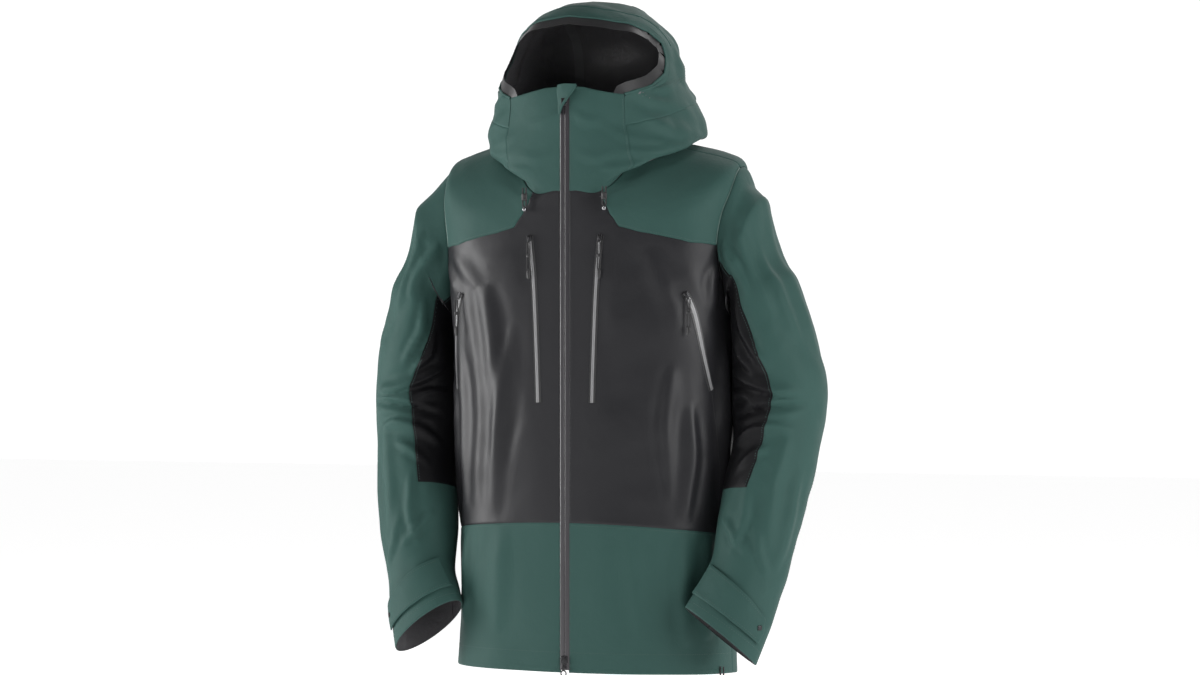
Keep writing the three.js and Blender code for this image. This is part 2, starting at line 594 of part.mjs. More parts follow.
// ---------- Cords ----------
// A thin cord that leaves a point, hangs down as a narrow loop and comes back beside itself.
function cordLoop(top, drop, spread, diameter) {
  const points = [];
  for (let k = 0; k <= 4; k++) points.push(new THREE.Vector3(-spread, 0, -((drop - spread) * k) / 4));
  for (let k = 1; k < 6; k++) {
    const angle = (Math.PI * k) / 6;
    points.push(new THREE.Vector3(-spread * Math.cos(angle), 0, -(drop - spread) - spread * Math.sin(angle)));
  }
  for (let k = 4; k >= 0; k--) points.push(new THREE.Vector3(spread, 0, -((drop - spread) * k) / 4));
  const path = new THREE.CatmullRomCurve3(points.map((p) => p.add(top)));
  const ring = new THREE.Shape();
  for (let k = 0; k < 8; k++) {
    const angle = (2 * Math.PI * k) / 8;
    ring[k ? "lineTo" : "moveTo"]((diameter / 2) * Math.cos(angle), (diameter / 2) * Math.sin(angle));
  }
  return new THREE.ExtrudeGeometry(ring, { steps: 16, extrudePath: path, bevelEnabled: false });
}

// A drawcord's loop at the collar seam, with a moulded end below it.
function buildHoodCord(side) {
  const top = new THREE.Vector3(HOOD_CORD.x * side, HOOD_CORD.y, HOOD_CORD.z);
  const name = sideName(side);
  add(`hood_cord_${name}`, cordLoop(top, HOOD_CORD.drop, HOOD_CORD.spread, HOOD_CORD.diameter), material.plastic);
  const end = new THREE.CylinderGeometry(3, 3, HOOD_CORD.end, 16).rotateX(Math.PI / 2);
  const z = top.z - HOOD_CORD.drop - HOOD_CORD.diameter / 2 - 0.4 - HOOD_CORD.end / 2;
  add(`hood_cord_end_${name}`, end.translate(top.x, top.y, z), material.metal);
}

function buildHemCord() {
  const { at, lift, drop, spread, diameter, ring, wire } = HEM_CORD;
  const { x, y, z } = torso(...at).addScaledVector(normalAt(torso, ...at), lift);
  add("hem_cord", cordLoop(new THREE.Vector3(x, y, z), drop, spread, diameter), material.plastic);
  const geometry = new THREE.TorusGeometry(ring, wire, 8, 20).rotateX(Math.PI / 2);
  add("hem_ring", geometry.translate(x, y, z - drop - diameter / 2 - 0.4 - ring - wire), material.metal);
}

// A loop of tape sewn to the inside of the neck.
function hangerLoop() {
  const { wide, tall, drop, thick } = HANGER;
  const outer = box(-wide / 2, wide / 2, LOOP.y - 2, LOOP.y - 2 + thick, -drop, tall - drop);
  return cut(outer, box(-wide / 2 + thick * 3, wide / 2 - thick * 3, 0, 100, -drop + thick * 2, tall - drop - thick * 2));
}

// ---------- Hardware dimensions ----------
const CUFF_TAB = { from: 0.12, to: 0.86, top: 7.05, bottom: 7.72, lift: 4.2, thick: 2.4 };
const PULL = { bar: 8, eye: 5, front: 4.2 };
const POCKET = {
  chest: { top: [0.0754, 5.5], bottom: [0.064, 2.1], bag: [0.03, 0.28, 2.1, 4.6], columns: 10, depth: 4, sliderGap: 0.6 },
  hand: { top: [0.252, 3.42], bottom: [0.36, 2.22], bag: [0.16, 0.42, 1.2, 3.2], columns: 8, depth: 8, sliderGap: 2 },
  width: 10,
  tape: 1.4,
  tapeLift: 0.5,
  cord: 1.8,
  drop: 40,
  spread: 2.2,
  grip: 12,
};
const HOOD_CORD = { x: 62, y: -142.6, z: -62, drop: 28, spread: 2.6, diameter: 2.4, end: 5 };
const HEM_CORD = { at: [0.4, 0.09], lift: 5, drop: 16, spread: 2.4, diameter: 2.4, ring: 6, wire: 1.1 };
const HANGER = { wide: 62, tall: 22, drop: 14, thick: 1.4 };

for (const side of [RIGHT, LEFT]) {
  const name = sideName(side);
  add(`front_chest_${name}`, frontChest(side), material.black);
  add(`front_yoke_${name}`, frontYoke(side), material.green);
  add(`front_hem_${name}`, frontHem(side), material.green);
  add(`chin_guard_${name}`, chinGuard(side), material.green);
  add(`main_zip_${name}`, mainTape(side), material.zip);
  buildSleeve(side);
  buildPocket("chest", side);
  buildPocket("hand", side);
  buildHoodCord(side);
}
add("back_yoke", backYoke(), material.green);
add("back_panel", backPanel(), material.black);
add("back_hem", panel(torso, rectangle(SIDE_SEAM, 2 - SIDE_SEAM, 0, HEM_SEAM), 12, 2), material.green);
buildHood();
add("zip_garage", plate(GARAGE.outline, FRONT_Y - GARAGE.far, FRONT_Y - GARAGE.near), material.green);
add("main_slider_bottom", mainSlider(BOTTOM_SLIDER_Z), material.metal);
add("main_slider_top", mainSlider(TOP_SLIDER_Z), material.metal);
add("main_pull", mainPull(), material.metal);
buildHemCord();
add("hanger_loop", hangerLoop(), material.plastic);

export default jacket;
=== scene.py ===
"""A hooded hardshell jacket: folded cloth panels, zips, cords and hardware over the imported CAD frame.

Every cloth panel is a patch of one of four surfaces: the torso, the hood and two sleeves. A surface maps
(around, along) to a point, with folds and a cloth simulation added once for the whole surface, so panels
that share a seam still meet on it. Tables and outlines are in millimetres, and meshes are in metres.
"""
import bmesh
import bpy
import json
import math
import numpy as np
from mathutils import Matrix, Vector

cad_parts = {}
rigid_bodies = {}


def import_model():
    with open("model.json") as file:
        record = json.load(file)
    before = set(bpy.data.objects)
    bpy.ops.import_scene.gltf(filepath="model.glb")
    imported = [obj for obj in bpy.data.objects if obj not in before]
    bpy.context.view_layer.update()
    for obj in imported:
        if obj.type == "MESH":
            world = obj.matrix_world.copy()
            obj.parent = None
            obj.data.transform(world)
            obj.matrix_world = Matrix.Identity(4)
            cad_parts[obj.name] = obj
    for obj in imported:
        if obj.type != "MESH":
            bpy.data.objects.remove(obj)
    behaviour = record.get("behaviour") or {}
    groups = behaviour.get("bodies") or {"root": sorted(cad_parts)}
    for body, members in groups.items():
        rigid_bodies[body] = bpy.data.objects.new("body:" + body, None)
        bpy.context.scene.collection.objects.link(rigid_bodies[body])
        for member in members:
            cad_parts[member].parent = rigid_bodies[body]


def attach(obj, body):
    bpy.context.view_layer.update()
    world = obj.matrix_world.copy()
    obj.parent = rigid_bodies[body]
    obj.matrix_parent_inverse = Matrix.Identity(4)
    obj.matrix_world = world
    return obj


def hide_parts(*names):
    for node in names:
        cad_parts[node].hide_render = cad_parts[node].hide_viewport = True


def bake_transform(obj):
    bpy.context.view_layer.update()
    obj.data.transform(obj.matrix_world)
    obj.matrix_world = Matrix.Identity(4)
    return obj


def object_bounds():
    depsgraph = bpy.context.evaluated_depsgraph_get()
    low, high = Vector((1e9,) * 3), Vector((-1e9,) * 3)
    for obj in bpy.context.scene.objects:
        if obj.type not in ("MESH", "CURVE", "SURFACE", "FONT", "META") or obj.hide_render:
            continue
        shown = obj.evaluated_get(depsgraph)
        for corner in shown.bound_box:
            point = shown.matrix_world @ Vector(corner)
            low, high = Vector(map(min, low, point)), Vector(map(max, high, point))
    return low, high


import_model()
CAD_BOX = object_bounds()
MM = 0.001
LOOP_Y = 61.0  # how far the surfaces' own origin lies in front of the hanger loop
SIDES = {"right": -1, "left": 1}


# ---------- Surfaces ----------
# Torso rings, from hem to neck: front and side heights, back point, half width, squareness.
FRONT_Y = -140
TORSO = np.array([
    # frontY, frontZ, sideZ, backY, backZ, half, square
    [FRONT_Y, -769, -775, 126, -788, 213, 2.4],  # hem
    [FRONT_Y, -551, -570, 130, -566, 203, 2.6],  # top of the hem band
    [FRONT_Y, -390, -392, 134, -385, 206, 2.8],
    [FRONT_Y, -262, -236, 134, -225, 215, 3.0],  # armpit
    [FRONT_Y, -190, -150, 131, -140, 221, 3.0],
    [FRONT_Y, -150, -80, 124, -85, 228, 2.9],
    [FRONT_Y, -124, -33, 112, -48, 228, 2.7],  # shoulder point
    [FRONT_Y, -104, -17, 100, -25, 203, 2.6],
    [FRONT_Y, -90, -5, 88, -10, 160, 2.6],
    [FRONT_Y, -78, 4, 78, -2, 120, 2.8],
    [FRONT_Y, -68, 12, 70, 6, 90, 3.0],  # neck seam
], float)
HEM_SEAM, ARMPIT, SHOULDER, NECK = 1, 3, 6, 10
HOOD = np.array([
    [-140, -66, 16, 72, 10, 92, 3.0],  # neck seam
    [-140, -46, 9, 124, 14, 158, 2.4],  # fold on the shoulders
    [-140, -22, 28, 138, 40, 163, 2.4],
    [-140, 20, 62, 146, 84, 149, 2.4],
    [-140, 66, 98, 150, 120, 134, 2.4],
    [-134, 110, 132, 150, 152, 126, 2.3],
    [-124, 150, 162, 141, 180, 115, 2.2],
    [-108, 182, 190, 118, 203, 93, 2.1],
    [-80, 205, 209, 88, 217, 65, 2.0],
    [-42, 216, 220, 50, 223, 36, 2.0],
    [4, 224, 224, 4, 224, 0, 2.0],  # crown
], float)
CROWN = 10
HOOD_EDGE = np.array([
    [0, 0.23], [1, 0.2], [2, 0.19], [3, 0.2], [4, 0.22], [4.15, 0.33], [4.5, 0.41], [5.2, 0.45],
    [5.9, 0.45], [6.5, 0.4], [6.9, 0.3], [7.2, 0.15], [7.4, 0],
])
BROW = 7.4
# Sleeve rings, from armhole to cuff: centre, half width and depth, turn about Z, rise outwards and forwards.
SLEEVE = np.array([
    [223, 0, -134, 5, 78, 0, 20, 0],
    [250, -6, -164, 30, 79, 0, 3, 0],
    [274, -8, -240, 49, 79, 0, 0.8, 0],
    [286, -8, -302, 61, 78, 0, 0.3, 0],
    [292, -4, -366, 69, 74, 0, 0.05, 0.05],  # elbow
    [286, -18, -450, 64, 65, 1, -0.03, 0.18],
    [269, -50, -545, 60, 55, 2, -0.1, 0.28],
    [256, -74, -628, 54, 45, 2, -0.3, 0.35],
    [228, -110, -711, 53, 34, 0, -0.72, 0.45],  # cuff edge
], float)
ARMHOLE = {"around": 0.5, "along": 4.5, "half_around": 0.165, "half_along": 1.5}
UNDER_END, CUFF_END = 5.65, 8
JOIN_ROW = 3.05  # where the shoulder's pieces hand over to the elbow's


def rings_at(table, row):
    """Catmull-Rom through a table's rows, at fractional rows."""
    last = len(table) - 1
    i = np.clip(np.floor(row).astype(int), 0, last - 1)
    t = (row - i)[..., None]
    p, q, r, s = (table[np.clip(i + k, 0, last)] for k in (-1, 0, 1, 2))
    return q + 0.5 * t * (r - p + t * (2 * p - 5 * q + 4 * r - s + t * (3 * (q - r) + s - p)))


def on_ring(table, around, row):
    """Points on closed rings. around is 0 at the centre front and 1 at the centre back."""
    front_y, front_z, side_z, back_y, back_z, half, square = np.moveaxis(rings_at(table, row), -1, 0)
    sin, cos = np.sin(around * np.pi), np.cos(around * np.pi)
    spread = (np.abs(sin) ** square + np.abs(cos) ** square) ** (-1 / square)
    back = -cos * spread
    mid_y, mid_z = (front_y + back_y) / 2, (front_z + back_z) / 2
    z = mid_z + (back_z - front_z) / 2 * back + (side_z - mid_z) * sin ** 2
    return np.stack([half * sin * spread, mid_y + (back_y - front_y) / 2 * back - LOOP_Y, z], -1) * MM


class Surface:
    """A smooth base with a grid of shifts on it. period is the length of around's full turn."""

    def __init__(self, base, rows, columns):
        self.base = base
        self.rows, self.columns = rows, columns
        self.a = np.linspace(-1, 1, columns + 1)
        self.b = np.linspace(0, rows[1], rows[0] + 1)
        self.shift = np.zeros((rows[0] + 1, columns + 1, 3))

    def grid(self):
        a, b = np.meshgrid(self.a, self.b)
        return a, b

    def __call__(self, a, b):
        a, b = np.broadcast_arrays(np.asarray(a, float), np.asarray(b, float))
        turned = (a + 1) % 2 - 1
        x = (turned + 1) / 2 * self.columns
        y = np.clip(b / self.rows[1], 0, 1) * self.rows[0]
        i = np.clip(np.floor(x).astype(int), 0, self.columns - 1)
        j = np.clip(np.floor(y).astype(int), 0, self.rows[0] - 1)
        u, v = (x - i)[..., None], (y - j)[..., None]
        u, v = u * u * (3 - 2 * u), v * v * (3 - 2 * v)
        low = self.shift[j, i] * (1 - u) + self.shift[j, i + 1] * u
        high = self.shift[j + 1, i] * (1 - u) + self.shift[j + 1, i + 1] * u
        return self.base(a, b) + low * (1 - v) + high * v

    def normal(self, a, b, of=None):
        of = of or self
        h = 2e-3
        across = of(a + h, b) - of(a - h, b)
        up = of(a, b + h) - of(a, b - h)
        n = np.cross(across, up)
        return n / np.maximum(np.linalg.norm(n, axis=-1, keepdims=True), 1e-12)


def armhole(turn):
    """The armhole seam on the torso: 0 at the top, 0.5 at the front, 1 at the armpit."""
    angle = np.asarray(turn, float) * np.pi
    around = ARMHOLE["around"] - ARMHOLE["half_around"] * np.sin(angle)
    return around, ARMHOLE["along"] + ARMHOLE["half_along"] * np.cos(angle)


torso = Surface(lambda a, b: on_ring(TORSO, a, b), (200, NECK), 300)


def hood_base(a, b):
    """The hood, which starts on the torso's neck seam."""
    share = np.clip(b, 0, 1)[..., None] ** 0.7
    return torso(a, NECK) * (1 - share) + on_ring(HOOD, a, b) * share


hood = Surface(hood_base, (140, CROWN), 240)


def sleeve_base(side):
    """A sleeve that starts on the torso's armhole. turn: 0 outside, 0.5 front, 1 inside, 1.5 back."""
    def place(turn, along):
        rows = rings_at(SLEEVE, np.maximum(along, 1))
        x, y, z, out, fore, yaw, rise_out, rise_fore = np.moveaxis(rows, -1, 0)
        angle, yaw = turn * side * np.pi, np.radians(yaw)
        out, fore = out * np.cos(angle), fore * np.sin(angle)
        point = np.stack([
            side * (x + out * np.cos(yaw) + fore * np.sin(yaw)),
            y + out * np.sin(yaw) - fore * np.cos(yaw) - LOOP_Y,
            z + out * rise_out + fore * rise_fore,
        ], -1) * MM
        around, ring = armhole(turn * side)
        share = np.clip(along, 0, 1)[..., None]
        return torso(around * side, ring) * (1 - share) + point * share
    return place


sleeves = {name: Surface(sleeve_base(side), (220, CUFF_END), 120) for name, side in SIDES.items()}


# ---------- Folds ----------
SIDE_BULGE = 12  # all in millimetres
SHOULDER_RISE = {"right": 11, "left": 2}
SLEEVE_INWARD = 6
HOOD_LEAN, HOOD_TUCK = 9, 11
NECKLINE_DROP = 15


def smooth(x):
    x = np.clip(x, 0, 1)
    return x * x * (3 - 2 * x)


def add_fold(surface, points, width, height, lean=0.0):
    """Raises a ridge along a line of (around, along) points. width and height are in millimetres.
    lean makes one side steeper, and a negative height makes a crease."""
    knots = np.array(points, float)
    share = np.linspace(0, 1, len(knots))
    fine = np.linspace(0, 1, 24)
    a, b = (np.interp(fine, share, knots[:, k]) for k in (0, 1))
    for _ in range(3):
        a[1:-1] = (a[:-2] + 2 * a[1:-1] + a[2:]) / 4
        b[1:-1] = (b[:-2] + 2 * b[1:-1] + b[2:]) / 4
    path = surface.base(a, b)
    place = surface.base(*surface.grid())
    normal = surface.normal(*surface.grid(), of=surface.base)
    low, high = path.min(0) - 5 * width * MM, path.max(0) + 5 * width * MM
    near = np.all((place > low) & (place < high), axis=-1)
    spots, out = place[near], normal[near]
    best = np.full(len(spots), 1e9)
    reach, side = np.zeros(len(spots)), np.zeros(len(spots))
    for k, (p, q) in enumerate(zip(path, path[1:])):
        d = q - p
        t = np.clip(((spots - p) @ d) / (d @ d), 0, 1)
        off = spots - p - t[:, None] * d
        distance = np.linalg.norm(off, axis=-1)
        closer = distance < best
        best = np.where(closer, distance, best)
        reach = np.where(closer, (k + t) / (len(path) - 1), reach)
        side = np.where(closer, np.sign(np.einsum("nk,nk->n", np.cross(out, d), off)), side)
    fade = np.sin(np.pi * reach) ** 0.7
    across = best / (width * MM * (0.55 + 0.45 * fade)) * (1 + lean * side)
    shape = np.exp(-across ** 2 * 1.2) - 0.35 * np.exp(-(across - 1.7) ** 2 / 0.7)
    surface.shift[near] += out * (height * MM * fade * shape)[:, None]


def add_ripples(surface, size, height, seed, where=None):
    """Soft uneven swelling, from a few slanted waves."""
    a, b = surface.grid()
    place = surface.base(a, b)
    normal = surface.normal(a, b, of=surface.base)
    rng = np.random.default_rng(seed)
    total = np.zeros(a.shape)
    for _ in range(14):
        direction = rng.normal(size=3)
        direction /= np.linalg.norm(direction)
        wave = size * MM * rng.uniform(0.7, 1.6)
        warp = 0.3 * np.sin(place @ rng.normal(size=3) / (2.2 * wave) + rng.uniform(0, 6))
        total += np.sin(place @ direction * 2 * np.pi / wave + 6 * warp + rng.uniform(0, 6)) / 14 ** 0.5
    weight = 1.0 if where is None else where(a, b)
    surface.shift += normal * (height * MM * total * weight)[..., None]


def fold_torso():
    """Broad upright folds on the chest, and small ones near the armholes and hem."""
    still = lambda a, b: smooth((np.abs(a) - 0.03) / 0.1) * smooth((NECK - b) / 1.5)
    add_ripples(torso, 150, 1.6, 3, still)
    add_ripples(torso, 55, 0.45, 4, still)
    upright = [
        # points, width, height, lean
        ([(-0.18, 3.7), (-0.175, 3.0), (-0.165, 2.1), (-0.185, 1.05)], 19, 7, 0.2),
        ([(-0.125, 3.0), (-0.145, 2.2), (-0.175, 1.5)], 13, 4, -0.2),
        ([(-0.235, 3.6), (-0.225, 2.8), (-0.215, 2.0), (-0.235, 1.1)], 15, 4.5, 0.2),
        ([(-0.30, 2.7), (-0.29, 2.0), (-0.31, 1.1)], 16, 4.5, 0.1),
        ([(-0.38, 2.5), (-0.39, 1.7), (-0.41, 1.0)], 13, 6, 0.2),
        ([(-0.34, 4.0), (-0.29, 3.6), (-0.25, 3.3)], 10, 3, 0.0),
        ([(-0.29, 4.3), (-0.24, 4.0), (-0.19, 3.6)], 14, 3, 0.0),
        ([(0.17, 4.6), (0.19, 4.0), (0.22, 3.3), (0.24, 2.6)], 16, 3.0, 0.0),
        ([(0.235, 2.5), (0.225, 1.9), (0.245, 1.2)], 11, 5, -0.3),
        ([(0.29, 2.1), (0.305, 1.6), (0.285, 1.05)], 12, 6, 0.3),
        ([(0.40, 2.7), (0.43, 1.9), (0.42, 1.1)], 13, 6, 0.0),
        ([(0.345, 3.9), (0.33, 3.5), (0.34, 3.0)], 9, 4, 0.0),
        ([(-0.16, 0.98), (-0.175, 0.3)], 17, 4, 0.0),
        ([(-0.28, 0.98), (-0.30, 0.35)], 15, 5, 0.2),
        ([(0.15, 0.98), (0.17, 0.3)], 16, 3, 0.0),
        ([(0.27, 0.98), (0.275, 0.25)], 14, 5, -0.2),
        ([(0.37, 0.98), (0.35, 0.3)], 14, 5, 0.2),
    ]
    for fold in upright:
        add_fold(torso, *fold)
    a, b = torso.grid()
    bulge = smooth((0.2 - np.abs(np.abs(a) - 0.52)) / 0.16)
    bulge = bulge * smooth((b - 0.5) / 0.9) * smooth((3.3 - b) / 0.9)
    torso.shift[..., 0] += np.sign(a) * SIDE_BULGE * MM * bulge
    for side in SIDES.values():
        for k in range(5):
            top = (side * (0.65 + 0.075 * k), 4.7 - 0.2 * k)
            low = (side * (0.6 + 0.07 * k), 2.3 - 0.3 * k)
            middle = ((top[0] + low[0]) / 2 + 0.015 * side, 3.6)
            add_fold(torso, [top, middle, low], 12 - k, 5.5 - 0.5 * k, 0.2 * side)
        for k in range(3):
            top = (side * (0.66 + 0.11 * k), 1.9 - 0.2 * k)
            add_fold(torso, [top, (top[0] + 0.02 * side, 1.2), (top[0] - 0.01 * side, 0.4)], 12, 4)


def shape_shoulders():
    """Raises the shoulders, the wearer's right one more, draws the sleeves in and leans the hood."""
    a, b = torso.grid()
    top = smooth((0.3 - np.abs(np.abs(a) - 0.5)) / 0.25)
    top = top * smooth((b - 5.2) / 1.2) * smooth((NECK + 0.4 - b) / 2.5)
    torso.shift[..., 2] += np.where(a < 0, SHOULDER_RISE["right"], SHOULDER_RISE["left"]) * MM * top
    for name, side in SIDES.items():
        surface = sleeves[name]
        a, b = surface.grid()
        start, round_off = (1.3, 1) if name == "right" else (0, 9)
        inward = SLEEVE_INWARD * smooth(b - start) * smooth((6.4 - b) / 2.5)
        over = round_off * smooth(b / 0.6) * smooth((2.6 - b) / 1.6) * (0.5 + 0.5 * np.cos(np.pi * a))
        surface.shift[..., 0] -= side * MM * (inward + over)
        surface.shift[..., 2] -= 3 * MM * over / 9
    a, b = hood.grid()
    beside_zip = np.where(b < 4.6, smooth((np.abs(a) - 0.03) / 0.17), 1)
    hood.shift[..., 0] -= HOOD_LEAN * MM * smooth(b / 5) * beside_zip
    corner = smooth((0.35 - np.abs(a + 0.42)) / 0.25) * smooth(1 - np.abs(b - 1.3) / 1.7)
    hood.shift[..., 0] += HOOD_TUCK * MM * corner


def lower_neckline():
    """Brings the neck seam down beside the centre front, where it runs almost level."""
    a, b = torso.grid()
    away = np.abs((a + 1) % 2 - 1)
    front = smooth((away - 0.04) / 0.14) * smooth((0.42 - away) / 0.22)
    torso.shift[..., 2] -= NECKLINE_DROP * MM * front * smooth((b - 8) / 1.8)


def fold_hood():
    """Slumped folds where the hood rests on the shoulders, and soft ones up the sides."""
    still = lambda a, b: smooth((np.abs(a) - 0.03) / 0.1) * smooth(b / 0.8) * smooth((CROWN - b) / 1.5)
    add_ripples(hood, 90, 1.5, 7, still)
    add_ripples(hood, 36, 0.5, 8, still)
    for name, side in SIDES.items():
        slumps = [
            ([(0.21, 3.6), (0.29, 2.9), (0.36, 2.2), (0.5, 1.9)], 11, 4.5, -0.3),
            ([(0.17, 2.2), (0.26, 1.6), (0.38, 1.3), (0.55, 1.3)], 9, 4.5, -0.3),
            ([(0.25, 4.3), (0.30, 3.7), (0.42, 3.3)], 7, 4, 0.3),
            ([(0.30, 4.4), (0.37, 4.0), (0.46, 3.9)], 5, 3, 0.2),
            ([(0.12, 3.2), (0.20, 2.5), (0.30, 2.1)], 7, 3, -0.2),
            ([(0.10, 1.4), (0.17, 1.1), (0.26, 0.9)], 7, 3, 0.0),
            ([(0.56, 5.6), (0.57, 4.6), (0.54, 3.7)], 12, 4, 0.2),
            ([(0.58, 4.8), (0.78, 3.7), (0.97, 3.3)], 12, 6, 0.0),
            ([(0.62, 3.4), (0.8, 2.6), (0.97, 2.4)], 11, 6, 0.0),
            ([(0.60, 7.0), (0.66, 6.0), (0.68, 5.0)], 11, 4, 0.0),
            ([(0.02, 3.7), (0.08, 3.3), (0.15, 3.3)], 6, 2.5, 0.3),
            ([(0.03, 2.3), (0.09, 2.0), (0.16, 2.2)], 8, 2.0, 0.0),
        ]
        share = 0.5 if name == "right" else 0.85
        for points, width, height, lean in slumps:
            add_fold(hood, [(side * x, y) for x, y in points], width, height * share, lean * side)


def fold_sleeve(name):
    """Long folds down the upper arm, a break at the elbow, and bunching above the cuff."""
    surface, side = sleeves[name], SIDES[name]
    still = lambda a, b: smooth(b / 0.8) * smooth((CUFF_END - b) / 0.8)
    add_ripples(surface, 90, 1.4, 11 + side, still)
    add_ripples(surface, 36, 0.4, 14 + side, still)
    folds = [
        # points, width, height, lean
        ([(0.50, 0.3), (0.52, 1.0), (0.47, 1.8)], 9, 8, 0.3),
        ([(0.38, 0.7), (0.40, 1.5), (0.33, 2.4)], 10, 5, 0.0),
        ([(0.22, 1.2), (0.25, 2.2), (0.19, 3.1)], 11, 4, 0.0),
        ([(0.62, 1.6), (0.62, 2.4), (0.50, 3.3)], 8, 6, 0.2),
        ([(0.74, 2.0), (0.70, 2.9), (0.56, 3.6)], 7, 6, -0.2),
        ([(0.84, 3.2), (0.64, 3.7), (0.46, 3.95), (0.26, 4.02)], 7, 8, -0.4),
        ([(0.80, 4.45), (0.62, 4.35), (0.42, 4.25), (0.2, 4.2)], 6, -7, 0.3),
        ([(0.84, 3.9), (0.70, 3.95), (0.58, 4.15)], 6, 6, 0.3),
        ([(0.82, 5.0), (0.62, 4.7), (0.44, 4.6), (0.3, 4.7)], 7, 7, 0.3),
        ([(0.72, 5.4), (0.56, 5.1), (0.44, 5.0)], 6, 4, 0.0),
        ([(0.33, 4.7), (0.37, 5.5), (0.33, 6.3)], 11, 4, 0.0),
        ([(0.56, 5.5), (0.53, 6.1), (0.60, 6.8)], 8, 5, 0.2),
        ([(0.18, 5.2), (0.15, 6.1), (0.2, 6.9)], 10, 4, 0.0),
        ([(0.76, 6.1), (0.60, 6.5), (0.46, 6.75)], 6, 5, -0.2),
        ([(0.44, 6.2), (0.36, 6.7), (0.24, 6.95)], 6, 3.5, 0.0),
        ([(0.02, 0.8), (0.05, 2.0), (0.0, 3.3)], 14, 3, 0.0),
        ([(-0.3, 0.9), (-0.34, 2.3), (-0.3, 3.5)], 12, 6, 0.0),
        ([(-0.52, 1.2), (-0.5, 2.4), (-0.42, 3.4)], 10, 6, 0.2),
        ([(-0.64, 3.3), (-0.45, 3.9), (-0.2, 4.1)], 8, 6, 0.0),
        ([(-0.62, 4.6), (-0.45, 4.35), (-0.2, 4.25)], 7, -6, 0.0),
        ([(-0.5, 4.7), (-0.3, 5.4), (-0.35, 6.4)], 11, 5, 0.0),
        ([(-0.6, 5.6), (-0.5, 6.2), (-0.55, 6.9)], 9, 5, 0.0),
    ]
    for points, width, height, lean in folds:
        add_fold(surface, [(x * side, y) for x, y in points], width, height, lean * side)


# ---------- Cloth simulation ----------
SIM_FRAMES = 26
SIM_LIMIT = 11 * MM  # the furthest that the simulation may move the cloth
SIM_CLOTH = {
    "quality": 5, "mass": 0.12, "tension_stiffness": 25, "compression_stiffness": 25, "shear_stiffness": 12,
    "bending_stiffness": 1.2, "air_damping": 4, "shrink_min": -0.035, "pin_stiffness": 0.6,
}
SIM_GRAVITY = 0.35
SIM_COARSE = 2  # grid steps of a surface to one step of the simulated cloth


def held_torso(a, b):
    """How firmly each point of the torso is held: 1 is fixed."""
    side = (np.abs(np.abs(a) - ARMHOLE["around"]) / (ARMHOLE["half_around"] + 0.02)) ** 2
    arm = side + ((b - ARMHOLE["along"]) / (ARMHOLE["half_along"] + 0.15)) ** 2
    firm = (np.abs(a) < 0.035) | (b > NECK - 0.8) | (arm < 1)
    return np.where(firm, 1.0, np.where(b < 0.12, 0.12, 0.012))


def held_sleeve(a, b):
    return np.where((b < 0.25) | (b > CUFF_END - 0.5), 1.0, 0.012)


def held_hood(a, b):
    near_edge = np.abs(a) < hood_edge(b) + 0.04
    return np.where(near_edge | (b < 0.5) | (b > CROWN - 1), 1.0, 0.03)


def sim_mesh(surface, held, coarse):
    """A closed ring of cloth on a surface, with its grid of held weights."""
    rows, columns = surface.rows[0] // coarse, surface.columns // coarse
    a, b = np.meshgrid(np.linspace(-1, 1, columns + 1)[:-1], np.linspace(0, surface.rows[1], rows + 1))
    points = surface(a, b)
    faces = []
    for j in range(rows):
        for i in range(columns):
            k = (i + 1) % columns
            low, high = j * columns, (j + 1) * columns
            faces.append((low + i, low + k, high + k, high + i))
    return points, held(a, b), faces


